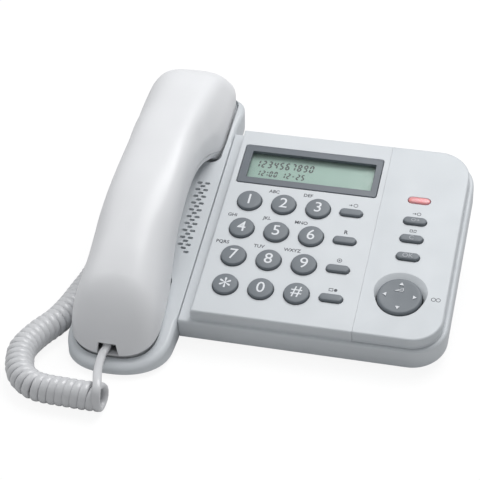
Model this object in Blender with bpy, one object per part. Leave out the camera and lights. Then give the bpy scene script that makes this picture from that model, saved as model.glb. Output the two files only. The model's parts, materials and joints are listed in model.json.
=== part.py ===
"""A corded desk telephone: a sloping keypad case with a control panel and a display, a
handset lying in a cradle along its left side, and the curly cord that joins the two.

Metres, +Z up. +X is to the user's right, +Y away from the user, and the desk is z = 0.
The origin is the centre of the telephone's footprint, its cord left out. Most places are
given from the keypad plate's front left corner: in the tilted panel frame as (u, v, n), or
in the level desk frame as (x, y, z).
"""

import math

import bmesh
import bpy
from mathutils import Vector

# ---------------------------------------------------------------- driving dimensions
PANEL_X = -0.0323
PANEL_Y = -0.0653
PANEL_Z = 0.0218
PANEL_TILT = math.radians(15.0)

PLATE_WIDTH = 0.12475       # keypad plate and control panel together
PLATE_DEPTH = 0.1271
SEAM_U = 0.0818             # joint between the keypad plate and the control panel
LEDGE_N = -0.0065           # ledge round the plate
SLAB_N = -0.0195            # underside of the case
RIM = 0.0025                # how far the case stands out past the plate
WALL = 0.0024
GAP = 0.0003                # clearance between pieces that touch
PLATE_CORNER = 0.0155       # plate corner radius, front right
BACK_CORNER = 0.0172        # plate corner radius, back right

KEY_COLUMNS = (0.0138, 0.0321, 0.0504)
KEY_ROWS = (0.0762, 0.0571, 0.0381, 0.01905)
KEY_NAMES = (("1", "2", "3"), ("4", "5", "6"), ("7", "8", "9"), ("star", "0", "hash"))
KEY_RADIUS = 0.0064
KEY_HEIGHT = 0.0018         # how far a key stands out of the plate
KEY_TRAVEL = 0.0015
KEY_CLEARANCE = 0.0003
FLANGE = 0.0011             # retaining flange under the plate
FLANGE_TOP = -0.0028
FLANGE_BOTTOM = -0.0038
FUNCTION_U = 0.0679
FUNCTION_NAMES = ("speaker_key", "recall_key", "redial_key", "pause_key")
OVAL = (0.0118, 0.0045)     # length and width of an oval key
CONTROL_U = 0.1013
CONTROL_KEYS = {"edit_key": 0.0758, "clear_key": 0.0638, "enter_key": 0.0518}
NAVIGATOR = (0.1013, 0.0255)
NAVIGATOR_RADIUS = 0.0113
NAVIGATOR_HEIGHT = 0.0025
NAVIGATOR_PIVOT = -0.0015
NAVIGATOR_UNDERSIDE = 0.0009  # clear of the plate when the disc tilts
NAVIGATOR_CLEARANCE = 0.0006
LENS_V = 0.0902
LENS = (0.0115, 0.0042)

BEZEL = (0.0037, 0.0890, 0.0786, 0.1162)      # u, v of two corners
WINDOW = (0.0081, 0.0933, 0.0752, 0.1119)

CRADLE_X = -0.0342          # centre line of cradle and handset
CRADLE_RIGHT = -0.0066
CRADLE_FLOOR = 0.0018       # the cradle's lowest edge, above the desk

# ---------------------------------------------------------------- scene and materials


def clear_scene():
    for old in list(bpy.data.objects):
        bpy.data.objects.remove(old, do_unlink=True)


def make_collection(name):
    collection = bpy.data.collections.new(name)
    bpy.context.scene.collection.children.link(collection)
    return collection


def make_empty(name, location, tilt=0.0, parent=None):
    empty = bpy.data.objects.new(name, None)
    empty.location = location
    empty.rotation_euler = (tilt, 0.0, 0.0)
    empty.parent = parent
    MODEL.objects.link(empty)
    return empty


def add_material(node, color, roughness, metallic=0.0):
    material = bpy.data.materials.new(node.name)
    material.use_nodes = True
    shader = material.node_tree.nodes["Principled BSDF"]
    shader.inputs["Base Color"].default_value = (*color, 1.0)
    shader.inputs["Roughness"].default_value = roughness
    shader.inputs["Metallic"].default_value = metallic
    node.data.materials.clear()
    node.data.materials.append(material)


SHELL = ((0.86, 0.87, 0.88), 0.35)
GREY_KEY = ((0.19, 0.21, 0.24), 0.5)
DARK_PLASTIC = ((0.10, 0.11, 0.13), 0.4)
CLEAR = ((0.75, 0.80, 0.78), 0.05)
RUBBER = ((0.30, 0.31, 0.32), 0.8)
CORD = ((0.72, 0.72, 0.73), 0.45)
BOARD = ((0.05, 0.22, 0.09), 0.5)
STEEL = ((0.55, 0.55, 0.57), 0.35, 1.0)
BLACK = ((0.03, 0.03, 0.03), 0.5)
LENS_RED = ((0.80, 0.25, 0.27), 0.2)


def make_node(name, bm, parent, place=(0.0, 0.0, 0.0), finish=None, smooth=True):
    """Makes an object from a bmesh whose coordinates are relative to its place."""
    bmesh.ops.recalc_face_normals(bm, faces=bm.faces)
    mesh = bpy.data.meshes.new(name)
    bm.to_mesh(mesh)
    bm.free()
    node = bpy.data.objects.new(name, mesh)
    node.location = place
    node.parent = parent
    if finish is None:
        CUTTERS.objects.link(node)
        node.hide_render = True
        node.display_type = "WIRE"
    else:
        MODEL.objects.link(node)
        add_material(node, *finish)
        if smooth:
            mesh.shade_smooth()
            mesh.set_sharp_from_angle(angle=math.radians(35.0))
    return node


def combine(node, other, operation="DIFFERENCE"):
    modifier = node.modifiers.new(other.name, "BOOLEAN")
    modifier.operation = operation
    modifier.object = other
    modifier.solver = "EXACT"


# ---------------------------------------------------------------- outlines and solids


def arc(cx, cy, radius, start, end, steps):
    turn = [math.radians(start + (end - start) * k / steps) for k in range(steps + 1)]
    return [(cx + radius * math.cos(a), cy + radius * math.sin(a)) for a in turn]


def rounded_outline(x0, y0, x1, y1, radii, steps=6):
    """A rectangle with its own radius at each corner, from the front left one round."""
    corners = ((x0, y0, 1, 1, 180), (x1, y0, -1, 1, 270), (x1, y1, -1, -1, 0), (x0, y1, 1, -1, 90))
    points = []
    for (cx, cy, sx, sy, start), radius in zip(corners, radii):
        if radius <= 0.0:
            points.append((cx, cy))
        else:
            points += arc(cx + sx * radius, cy + sy * radius, radius, start, start + 90, steps)
    return points


def oval_outline(length, width, steps=6):
    reach = (length - width) / 2
    right = arc(reach, 0.0, width / 2, -90, 90, steps)
    left = arc(-reach, 0.0, width / 2, 90, 270, steps)
    return right + left


def circle_outline(radius, steps=24):
    return arc(0.0, 0.0, radius, 0, 360, steps)[:-1]


def add_prism(bm, outline, low, high, at=(0.0, 0.0)):
    """Adds an upright prism on a flat outline."""
    ring = [bm.verts.new((x + at[0], y + at[1], low)) for x, y in outline]
    base = bm.faces.new(ring)
    side = bmesh.ops.extrude_face_region(bm, geom=[base])
    top = [item for item in side["geom"] if isinstance(item, bmesh.types.BMVert)]
    bmesh.ops.translate(bm, verts=top, vec=(0.0, 0.0, high - low))


def prism(outline, low, high, at=(0.0, 0.0)):
    bm = bmesh.new()
    add_prism(bm, outline, low, high, at)
    return bm


def box(x0, y0, z0, x1, y1, z1):
    return prism([(x0, y0), (x1, y0), (x1, y1), (x0, y1)], z0, z1)


def side_prism(outline, x0, x1):
    """A prism along X on a (y, z) outline."""
    return loft([[(x0, y, z) for y, z in outline], [(x1, y, z) for y, z in outline]])


def turned(profile, steps=24):
    """A solid of revolution about Z from (radius, height) pairs, bottom to top, both ends on
    the axis."""
    bm = bmesh.new()
    rings = []
    for radius, height in profile:
        if radius < 1e-7:
            rings.append([bm.verts.new((0.0, 0.0, height))])
        else:
            ring = [(x, y, height) for x, y in circle_outline(radius, steps)]
            rings.append([bm.verts.new(point) for point in ring])
    for lower, upper in zip(rings, rings[1:]):
        for k in range(steps):
            j = (k + 1) % steps
            corners = [lower[k % len(lower)], lower[j % len(lower)]]
            corners += [upper[j % len(upper)], upper[k % len(upper)]]
            bm.faces.new(list(dict.fromkeys(corners)))
    return bm


def loft(rings, close_ends=True):
    """Joins rings of the same number of points by quads, and caps the first and last."""
    bm = bmesh.new()
    rows = [[bm.verts.new(point) for point in ring] for ring in rings]
    count = len(rows[0])
    for lower, upper in zip(rows, rows[1:]):
        for k in range(count):
            j = (k + 1) % count
            bm.faces.new((lower[k], lower[j], upper[j], upper[k]))
    if close_ends:
        bm.faces.new(rows[0])
        bm.faces.new(rows[-1])
    bmesh.ops.remove_doubles(bm, verts=bm.verts, dist=1e-6)
    return bm


def smooth_step(value, low, high):
    t = min(max((value - low) / (high - low), 0.0), 1.0)
    return t * t * (3.0 - 2.0 * t)


def along(value, points):
    """A smooth curve through (position, height) pairs: a Catmull-Rom spline read at value."""
    if value <= points[0][0]:
        return points[0][1]
    if value >= points[-1][0]:
        return points[-1][1]
    for k in range(len(points) - 1):
        (xa, ya), (xb, yb) = points[k], points[k + 1]
        if value <= xb:
            break
    xp, yp = points[max(k - 1, 0)]
    xn, yn = points[min(k + 2, len(points) - 1)]
    slope_a = (yb - yp) / (xb - xp) * (xb - xa)
    slope_b = (yn - ya) / (xn - xa) * (xb - xa)
    t = (value - xa) / (xb - xa)
    return ((2 * t ** 3 - 3 * t ** 2 + 1) * ya + (t ** 3 - 2 * t ** 2 + t) * slope_a
            + (3 * t ** 2 - 2 * t ** 3) * yb + (t ** 3 - t ** 2) * slope_b)


def panel_height(y, n):
    """The desk-frame height of the panel-frame level n, at a desk-frame y."""
    return PANEL_Z + y * math.tan(PANEL_TILT) + n / math.cos(PANEL_TILT)


# ---------------------------------------------------------------- keypad case and panel


def plate_outline(inset=0.0, left=0.0, right=PLATE_WIDTH):
    front = PLATE_CORNER - inset if right == PLATE_WIDTH else 0.0
    back = BACK_CORNER - inset if right == PLATE_WIDTH else 0.0
    return rounded_outline(left + inset, inset, right - inset, PLATE_DEPTH - inset, (0.0, front, back, 0.0))


def rim_outline(inset, left):
    out = RIM - inset
    radii = (0.0, PLATE_CORNER + out, BACK_CORNER + out, 0.0)
    return rounded_outline(left, -out, PLATE_WIDTH + out, PLATE_DEPTH + out, radii)


SCREW_SPOTS = ((0.012, 0.0042), (0.106, 0.0042), (0.012, 0.1229), (0.104, 0.1229))
NOTCH_TOP = SLAB_N + 0.0027     # the base cover passes from the cradle to the case below this


def make_keypad_case():
    left = CRADLE_RIGHT + GAP
    rim = prism(rim_outline(0.0, left), SLAB_N, LEDGE_N)
    case = make_node("keypad_case", rim, PANEL, finish=SHELL)
    seam = SEAM_U - GAP / 2
    plate = prism(rounded_outline(0.0, 0.0, seam, PLATE_DEPTH, (0.0, 0.0, 0.0, 0.0)), -0.0080, 0.0)
    combine(case, make_node("plate_block", plate, PANEL), "UNION")
    under_ledge = prism(rim_outline(WALL, left + WALL), SLAB_N - 0.001, LEDGE_N - WALL)
    combine(case, make_node("ledge_core", under_ledge, PANEL))
    under_plate = prism(plate_outline(WALL), SLAB_N - 0.002, -0.0025)
    combine(case, make_node("plate_core", under_plate, PANEL))
    notch = box(left - 0.001, 0.0, SLAB_N - 0.001, left + WALL + 0.0005, PLATE_DEPTH, NOTCH_TOP)
    combine(case, make_node("side_notch", notch, PANEL))

    holes = bmesh.new()
    for v in KEY_ROWS:
        for u in KEY_COLUMNS:
            add_prism(holes, circle_outline(KEY_RADIUS + KEY_CLEARANCE, 20), -0.004, 0.001, (u, v))
        oval = oval_outline(OVAL[0] + 2 * KEY_CLEARANCE, OVAL[1] + 2 * KEY_CLEARANCE)
        add_prism(holes, oval, -0.004, 0.001, (FUNCTION_U, v))
    u0, v0, u1, v1 = BEZEL
    add_prism(holes, rounded_outline(u0 - GAP, v0 - GAP, u1 + GAP, v1 + GAP, (0.001,) * 4, 2), -0.004, 0.001)
    combine(case, make_node("keypad_holes", holes, PANEL))

    bosses = bmesh.new()
    for u, v in SCREW_SPOTS:
        add_prism(bosses, circle_outline(0.0040, 12), SLAB_N + 0.0026, LEDGE_N - 0.0005, (u, v))
    combine(case, make_node("screw_bosses", bosses, PANEL), "UNION")
    pilots = bmesh.new()
    for u, v in SCREW_SPOTS:
        add_prism(pilots, circle_outline(0.0016, 10), SLAB_N, LEDGE_N - 0.0020, (u, v))
    combine(case, make_node("screw_pilots", pilots, PANEL))


def make_control_panel():
    seam = SEAM_U + GAP / 2
    top = LEDGE_N + GAP
    outline = plate_outline(0.0, left=seam)
    panel = make_node("control_panel", prism(outline, top, 0.0), PANEL, finish=SHELL)
    core = rounded_outline(seam - 0.001, WALL, PLATE_WIDTH - WALL, PLATE_DEPTH - WALL,
                           (0.0, PLATE_CORNER - WALL, BACK_CORNER - WALL, 0.0))
    combine(panel, make_node("panel_core", prism(core, top - 0.001, -0.0025), PANEL))
    holes = bmesh.new()
    for v in CONTROL_KEYS.values():
        oval = oval_outline(OVAL[0] + 2 * KEY_CLEARANCE, OVAL[1] + 2 * KEY_CLEARANCE)
        add_prism(holes, oval, -0.004, 0.001, (CONTROL_U, v))
    lens = oval_outline(LENS[0] + 2 * GAP, LENS[1] + 2 * GAP)
    add_prism(holes, lens, -0.004, 0.001, (CONTROL_U, LENS_V))
    disc = circle_outline(NAVIGATOR_RADIUS + NAVIGATOR_CLEARANCE, 32)
    add_prism(holes, disc, -0.004, 0.001, NAVIGATOR)
    combine(panel, make_node("panel_holes", holes, PANEL))


def make_keys():
    """Each key is a cap over a flange that keeps it behind the plate."""
    cap = ((0.0, FLANGE_BOTTOM), (KEY_RADIUS + FLANGE, FLANGE_BOTTOM), (KEY_RADIUS + FLANGE, FLANGE_TOP),
           (KEY_RADIUS, FLANGE_TOP), (KEY_RADIUS, 0.0012), (0.0057, KEY_HEIGHT), (0.0, KEY_HEIGHT))
    for v, names in zip(KEY_ROWS, KEY_NAMES):
        for u, name in zip(KEY_COLUMNS, names):
            make_node("key_" + name, turned(cap, 18), PANEL, (u, v, 0.0), GREY_KEY)
    spots = [(name, FUNCTION_U, v) for name, v in zip(FUNCTION_NAMES, KEY_ROWS)]
    spots += [(name, CONTROL_U, v) for name, v in CONTROL_KEYS.items()]
    for name, u, v in spots:
        make_node(name, oval_key(), PANEL, (u, v, 0.0), GREY_KEY)


def oval_key():
    length, width = OVAL
    sections = ((2 * FLANGE, FLANGE_BOTTOM), (2 * FLANGE, FLANGE_TOP), (0.0, FLANGE_TOP), (0.0, 0.0010),
                (-0.0008, 0.0016))
    rings = []
    for grow, n in sections:
        rings.append([(x, y, n) for x, y in oval_outline(length + grow, width + grow, 5)])
    return loft(rings)


def make_navigator():
    """A dished disc over the plate, on a domed rocker that lets it tilt each way."""
    radius = NAVIGATOR_RADIUS
    low = -NAVIGATOR_PIVOT
    under = NAVIGATOR_UNDERSIDE
    cap = ((0.0, under), (radius - 0.0004, under), (radius, under + 0.0004), (radius, 0.0017),
           (radius - 0.0010, NAVIGATOR_HEIGHT), (0.0, NAVIGATOR_HEIGHT - 0.0005))
    u, v = NAVIGATOR
    disc = turned([(r, n + low) for r, n in cap], 32)
    make_node("navigator_key", disc, PANEL, (u, v, NAVIGATOR_PIVOT), GREY_KEY)
    dome = ((0.0, FLANGE_TOP - 0.0014), (0.0060, FLANGE_TOP - 0.0014), (0.0060, FLANGE_TOP - 0.0005),
            (0.0045, FLANGE_TOP - 0.0005), (0.0045, -0.0003), (0.0020, 0.0002), (0.0, 0.0003))
    rocker = turned([(r, n + low) for r, n in dome], 20)
    make_node("navigator_rocker", rocker, PANEL, (u, v, NAVIGATOR_PIVOT), DARK_PLASTIC)


def make_display():
    u0, v0, u1, v1 = BEZEL
    bezel = prism(rounded_outline(u0, v0, u1, v1, (0.001,) * 4, 2), -0.0030, 0.0003)
    bezel = make_node("display_bezel", bezel, PANEL, finish=DARK_PLASTIC)
    a0, b0, a1, b1 = WINDOW
    combine(bezel, make_node("window_hole", box(a0, b0, -0.0040, a1, b1, 0.001), PANEL))
    step = 0.0012
    rebate = box(a0 - step, b0 - step, -0.0040, a1 + step, b1 + step, -0.0015)
    combine(bezel, make_node("window_rebate", rebate, PANEL))
    edge = step - GAP
    window = box(a0 - edge, b0 - edge, -0.0028, a1 + edge, b1 + edge, -0.0015 - GAP)
    make_node("display_window", window, PANEL, finish=CLEAR)
    glass = box(a0 - 0.0025, b0 - 0.0025, -0.0051, a1 + 0.0025, b1 + 0.0025, -0.0033)
    make_node("lcd_glass", glass, PANEL, finish=((0.45, 0.52, 0.48), 0.2))
    lens = prism(oval_outline(*LENS, 6), -0.0035, 0.0004)
    make_node("indicator_lens", lens, PANEL, (CONTROL_U, LENS_V, 0.0), LENS_RED)


# ---------------------------------------------------------------- inside the keypad case
MAT_TOP = FLANGE_BOTTOM - KEY_TRAVEL - GAP
MAT_BOTTOM = MAT_TOP - 0.0012
BOARD_TOP = MAT_BOTTOM - GAP
BOARD_BOTTOM = BOARD_TOP - 0.0016


def make_electronics():
    mat = box(0.0045, 0.0115, MAT_BOTTOM, 0.0770, 0.0860, MAT_TOP)
    make_node("keypad_mat", mat, PANEL, finish=RUBBER)
    control_mat = box(0.0860, 0.0115, MAT_BOTTOM, 0.1165, 0.0845, MAT_TOP)
    make_node("control_mat", control_mat, PANEL, finish=RUBBER)
    board = box(0.0035, 0.0150, BOARD_BOTTOM, 0.1185, 0.1150, BOARD_TOP)
    make_node("main_circuit_board", board, PANEL, finish=BOARD)


# ---------------------------------------------------------------- long rounded forms
# The cradle and the handset are both long forms with rounded ends. Their outline is read
# at stations along Y, and their skins run in rings from that outline in to a spine.


def stations(low, high, reach, side_count, end_count=6):
    """Places along Y, closer together round the two ends."""
    places = []
    for k in range(1, end_count + 1):
        places.append(low + reach * (1.0 - math.cos(math.pi / 2 * k / end_count)))
    for k in range(1, side_count):
        places.append(low + reach + (high - low - 2 * reach) * k / side_count)
    for k in range(end_count, 0, -1):
        places.append(high - reach * (1.0 - math.cos(math.pi / 2 * k / end_count)))
    return places


def end_taper(y, low, high, reach, powers):
    """1 along the sides, falling to 0 at both ends along a superellipse."""
    front = min(max((low + reach - y) / reach, 0.0), 1.0)
    back = min(max((y - high + reach) / reach, 0.0), 1.0)
    front_power, back_power = powers
    return (1.0 - front ** front_power) ** (1 / front_power) * (1.0 - back ** back_power) ** (1 / back_power)


def long_outline(form, inset=0.0):
    """The form's outline, inset all round: from its front tip up the right side and back."""
    low = form["front"] + inset
    high = form["back"] - inset
    scale = (form["back"] - form["front"]) / (high - low)
    rows = []
    for y in stations(low, high, form["reach"], form["side_count"]):
        taper = end_taper(form["front"] + (y - low) * scale, form["front"], form["back"],
                          form["reach"], form["powers"])
        rows.append((y, (along(y, form["left"]) - inset) * taper, (along(y, form["right"]) - inset) * taper))
    points = [Vector((CRADLE_X, low))]
    points += [Vector((CRADLE_X + right, y)) for y, left, right in rows]
    points.append(Vector((CRADLE_X, high)))
    points += [Vector((CRADLE_X - left, y)) for y, left, right in reversed(rows)]
    return points


def long_ring(form, height, fraction=0.0, inset=0.0, lean=None):
    """A ring of the form's skin, a fraction of the way from its outline to its spine. A lean
    draws it in further by its own amount at each place along the form."""
    ring = []
    first, last = form["spine"]
    for point in long_outline(form, inset):
        spine = Vector((CRADLE_X, min(max(point.y, first), last)))
        reach = (spine - point).length
        drawn_in = lean(point.y) / reach if lean and reach > 0.001 else 0.0
        moved = point.lerp(spine, min(fraction + drawn_in * (1.0 - fraction), 1.0))
        ring.append((moved.x, moved.y, height(moved.y)))
    return ring


def loft_to_spine(rings, both_ends=False):
    """Lofts rings whose last one, and on a shell the first too, has shrunk to the spine."""
    bm = bmesh.new()
    rows = [[bm.verts.new(point) for point in ring] for ring in rings]
    count = len(rows[0])
    for lower, upper in zip(rows, rows[1:]):
        for k in range(count):
            j = (k + 1) % count
            bm.faces.new((lower[k], lower[j], upper[j], upper[k]))
    if both_ends:
        bmesh.ops.remove_doubles(bm, verts=rows[0], dist=0.00005)
    else:
        bm.faces.new(rows[0])
    bmesh.ops.remove_doubles(bm, verts=rows[-1], dist=0.00005)
    bmesh.ops.dissolve_degenerate(bm, edges=bm.edges, dist=1e-6)
    return bm


# ---------------------------------------------------------------- cradle
CRADLE = {
    "front": -0.0335, "back": 0.1640, "reach": 0.0240, "powers": (2.3, 2.6), "side_count": 14,
    "spine": (-0.0070, 0.1385),
    "left": ((-0.0340, 0.0256), (-0.0060, 0.0255), (0.0020, 0.0249), (0.0100, 0.0236), (0.0180, 0.0224),
             (0.0260, 0.0212), (0.0360, 0.0196), (0.0840, 0.0196), (0.0960, 0.0228), (0.1080, 0.0270),
             (0.1200, 0.0284), (0.1650, 0.0284)),
    "right": ((-0.0340, 0.0276), (0.1300, 0.0276), (0.1420, 0.0287), (0.1650, 0.0288)),
}
DECK = ((-0.040, -0.0068), (0.040, -0.0065), (0.100, -0.0064), (0.138, -0.0064), (0.150, -0.0085),
        (0.158, -0.0115), (0.165, -0.0150))
MOUTH_POCKET_FLOOR = -0.0108
EAR_POCKET_FLOOR = -0.0130
POCKET_GAP = 0.0009         # round the ends of the handset
POCKET_CORNER = 0.0030
POCKETS = (("mouth_pocket", -0.040, 0.0260, MOUTH_POCKET_FLOOR),
           ("ear_pocket", 0.1040, 0.1750, EAR_POCKET_FLOOR))
HOOK_SLOT = (CRADLE_X - 0.0040, 0.1180, -0.0180, CRADLE_X + 0.0040, 0.1260, -0.0100)


def deck_height(y):
    return panel_height(y, along(y, DECK))


def cradle_bottom(y):
    return max(CRADLE_FLOOR, panel_height(y, SLAB_N))


def shoulder_height(y):
    """Top of the cradle's upright wall, where the rounding up to the deck begins."""
    return max(min(panel_height(y, -0.0085), deck_height(y) - 0.002), CRADLE_FLOOR + 0.002)


def make_cradle():
    rings = [
        long_ring(CRADLE, cradle_bottom, 1.0),
        long_ring(CRADLE, cradle_bottom),
        long_ring(CRADLE, shoulder_height),
        long_ring(CRADLE, lambda y: 0.35 * shoulder_height(y) + 0.65 * deck_height(y), inset=0.0008),
        long_ring(CRADLE, deck_height, inset=0.0024),
        long_ring(CRADLE, deck_height, 0.5, 0.0024),
        long_ring(CRADLE, deck_height, 1.0, 0.0024),
    ]
    cradle = make_node("cradle_case", loft_to_spine(rings, True), DESK, finish=SHELL)
    inner = [
        long_ring(CRADLE, lambda y: -0.01, inset=WALL),
        long_ring(CRADLE, lambda y: deck_height(y) - WALL, inset=WALL),
        long_ring(CRADLE, lambda y: deck_height(y) - WALL, 1.0, WALL),
    ]
    core = make_node("cradle_core", loft_to_spine(inner), DESK)
    for name, low, high, floor in POCKETS:
        combine(core, make_node(name + "_wall", pocket(low, high, floor - 0.0018, 0.0018), DESK))
    combine(cradle, core)
    for name, low, high, floor in POCKETS:
        combine(cradle, make_node(name, pocket(low, high, floor, 0.0), DESK))
    low = CRADLE_RIGHT - WALL - 0.001
    notch = box(low, 0.0, SLAB_N - 0.001, CRADLE_RIGHT + 0.001, 0.1250, NOTCH_TOP)
    combine(cradle, make_node("cradle_side_notch", notch, PANEL))
    slot = box(*HOOK_SLOT)
    combine(cradle, make_node("hook_slot", slot, PANEL))


def pocket(low, high, floor, wall):
    """A hollow for one end of the handset: its own outline there, with a gap all round, and
    rounded corners where it crosses the deck."""
    margin = POCKET_GAP + wall
    corner = POCKET_CORNER + wall
    is_front = low < 0.0
    side = []
    for x, y in handset_footprint():
        if low + (0.0 if is_front else corner) < y < high - (corner if is_front else 0.0):
            spine = Vector((CRADLE_X, min(max(y, HANDSET["spine"][0]), HANDSET["spine"][1])))
            out = Vector((x, y)) - spine
            side.append(spine + out * (1.0 + margin / out.length))
    right = [tuple(point) for point in side if point.x > CRADLE_X + 0.0001]
    left = [tuple(point) for point in side if point.x < CRADLE_X - 0.0001]
    middle = [tuple(point) for point in side if abs(point.x - CRADLE_X) <= 0.0001]
    if is_front:
        line = high + margin
        turn = arc(right[-1][0] - corner, line - corner, corner, 0, 90, 4)
        turn += arc(left[0][0] + corner, line - corner, corner, 90, 180, 4)
        outline = middle + right + turn + left
    else:
        line = low - margin
        turn = arc(left[-1][0] + corner, line + corner, corner, 180, 270, 4)
        turn += arc(right[0][0] - corner, line + corner, corner, 270, 360, 4)
        outline = right + middle + left + turn
    return loft([[(x, y, panel_height(y, floor)) for x, y in outline], [(x, y, 0.12) for x, y in outline]])


# ---------------------------------------------------------------- handset
HANDSET = {
    "front": -0.0285, "back": 0.1615, "reach": 0.0210, "powers": (2.6, 3.2), "side_count": 15,
    "spine": (-0.0075, 0.1395),
    "left": ((-0.030, 0.0236), (0.000, 0.0235), (0.030, 0.0224), (0.060, 0.0214), (0.085, 0.0217),
             (0.108, 0.0246), (0.122, 0.0256), (0.163, 0.0256)),
    "right": ((-0.030, 0.0236), (0.000, 0.0235), (0.030, 0.0224), (0.060, 0.0214), (0.085, 0.0216),
              (0.108, 0.0238), (0.122, 0.0248), (0.163, 0.0248)),
}
CROWN = ((-0.0285, 0.0170), (-0.022, 0.0300), (-0.012, 0.0415), (0.000, 0.0490), (0.014, 0.0555),
         (0.034, 0.0630), (0.051, 0.0680), (0.072, 0.0723), (0.088, 0.0744), (0.108, 0.0762),
         (0.128, 0.0768), (0.144, 0.0754), (0.154, 0.0730), (0.162, 0.0690))
PARTING = ((-0.0285, 0.0084), (-0.010, 0.0120), (0.010, 0.0165), (0.018, 0.0230), (0.032, 0.0370),
           (0.050, 0.0470), (0.075, 0.0530), (0.092, 0.0530), (0.104, 0.0495), (0.114, 0.0460),
           (0.130, 0.0495), (0.162, 0.0580))
UNDERCUT = ((-0.0285, 0.0026), (0.026, 0.0026), (0.038, 0.0010), (0.085, 0.0008), (0.110, 0.0), (0.160, 0.0))
SHOULDER_LEAN = ((-0.0285, 0.0), (0.060, 0.0), (0.110, 0.0012), (0.160, 0.0015))
MOUTH_FACE = -0.0102
EAR_FACE = -0.0104
GRIP_DEPTH = 0.0040         # how far the grip's underside lies below the parting line
SECTION_POWER = 2.7         # how square the upper shell's shoulders are


def upper_section(fractions):
    """For each fraction of the way in: the share of the height up to the crown, and undercut."""
    rows = [(f, (1.0 - (1.0 - f) ** SECTION_POWER) ** (1 / SECTION_POWER), 0.0) for f in fractions]
    return rows + [(0.0, 0.18, 0.15), (0.0, 0.0, 1.0)]


def face_height(y):
    """Underside of the handset: mouthpiece, grip, then earpiece."""
    grip = along(y, PARTING) - GRIP_DEPTH
    mouth = panel_height(y, MOUTH_FACE)
    ear = panel_height(y, EAR_FACE)
    low = mouth + (grip - mouth) * smooth_step(y, 0.014, 0.030)
    return low + (ear - low) * smooth_step(y, 0.1045, 0.1125)


def upper_skin(share, drop=0.0):
    def height(y):
        base = along(y, PARTING)
        return base + (along(y, CROWN) - drop - base) * share
    return height


def lower_skin(share, lift=0.0):
    def height(y):
        base = along(y, PARTING) - GAP
        return base + (face_height(y) + lift - base) * share
    return height


def draw_in(undercut, share):
    def lean(y):
        shoulder = smooth_step(share, 0.3, 0.7) * along(y, SHOULDER_LEAN)
        return undercut * along(y, UNDERCUT) + shoulder
    return lean


def handset_footprint():
    """The handset's outline where its lower shell meets the upper one."""
    return [(x, y) for x, y, z in long_ring(HANDSET, lower_skin(0.0), 0.0, 0.0, draw_in(1.0, 0.0))]


def make_handset():
    rows = upper_section((1.0, 0.62, 0.38, 0.22, 0.11, 0.045, 0.012))
    outer = [long_ring(HANDSET, upper_skin(share), f, 0.0, draw_in(cut, share)) for f, share, cut in rows]
    section = ((0.0, 0.0, 1.0), (0.0, 0.2, 0.1), (0.08, 0.54, 0.0), (0.25, 0.78, 0.0), (1.0, 1.0, 0.0))
    inner = []
    for f, share, cut in section:
        inner.append(long_ring(HANDSET, upper_skin(share, WALL), f, WALL, draw_in(cut, share)))
    shell = make_node("handset_back_shell", loft_to_spine(outer + inner, True), DESK, finish=SHELL)
    notch = box(CORD_X - 0.0044, -0.0310, 0.0040, CORD_X + 0.0044, -0.0235, 0.0166)
    combine(shell, make_node("cord_notch", notch, DESK))
    edge = draw_in(1.0, 0.0)
    steps = ((1.0, 1.0), (0.45, 1.0), (0.09, 1.0), (0.03, 0.6), (0.0, 0.0))
    outer = [long_ring(HANDSET, lower_skin(share), f, 0.0, edge) for f, share in steps]
    steps = ((0.0, 0.0), (0.06, 1.0), (1.0, 1.0))
    inner = [long_ring(HANDSET, lower_skin(share, 0.0018), f, WALL, edge) for f, share in steps]
    make_node("handset_front_shell", loft_to_spine(outer + inner, True), DESK, finish=SHELL)


CORD_X = CRADLE_X - 0.0013  # where the cord leaves the handset
HANDSET_JACK = (CORD_X - 0.0058, -0.0220, 0.0103, CORD_X + 0.0058, -0.0115, 0.0193)
HANDSET_PLUG = (CORD_X - 0.0038, -0.0228, 0.0115, CORD_X + 0.0038, -0.0123, 0.0179)


def socket_for(plug, clearance=GAP):
    """The hollow that takes a plug, open where the plug's back stands out of it."""
    x0, y0, z0, x1, y1, z1 = plug
    return box(x0 - clearance, y0 - clearance, z0 - clearance, x1 + clearance, y1 + clearance, z1 + clearance)


def make_handset_insides():
    spot = (CRADLE_X, 0.1346, 0.0)
    capsule = ((0.0, -0.0080), (0.013, -0.0080), (0.015, -0.0065), (0.015, -0.0015), (0.0, -0.0015))
    make_node("receiver_capsule", turned(capsule), PANEL, spot, DARK_PLASTIC)
    capsule = ((0.0, -0.0078), (0.00485, -0.0078), (0.00485, -0.0030), (0.0, -0.0030))
    make_node("microphone_capsule", turned(capsule, 16), PANEL, (CRADLE_X, 0.0, 0.0), STEEL)
    weight = box(CRADLE_X - 0.008, 0.040, 0.0516, CRADLE_X + 0.008, 0.088, 0.0576)
    make_node("handset_weight", weight, DESK, finish=STEEL)
    jack = make_node("handset_jack", box(*HANDSET_JACK), DESK, finish=DARK_PLASTIC)
    combine(jack, make_node("handset_jack_socket", socket_for(HANDSET_PLUG), DESK))


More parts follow.
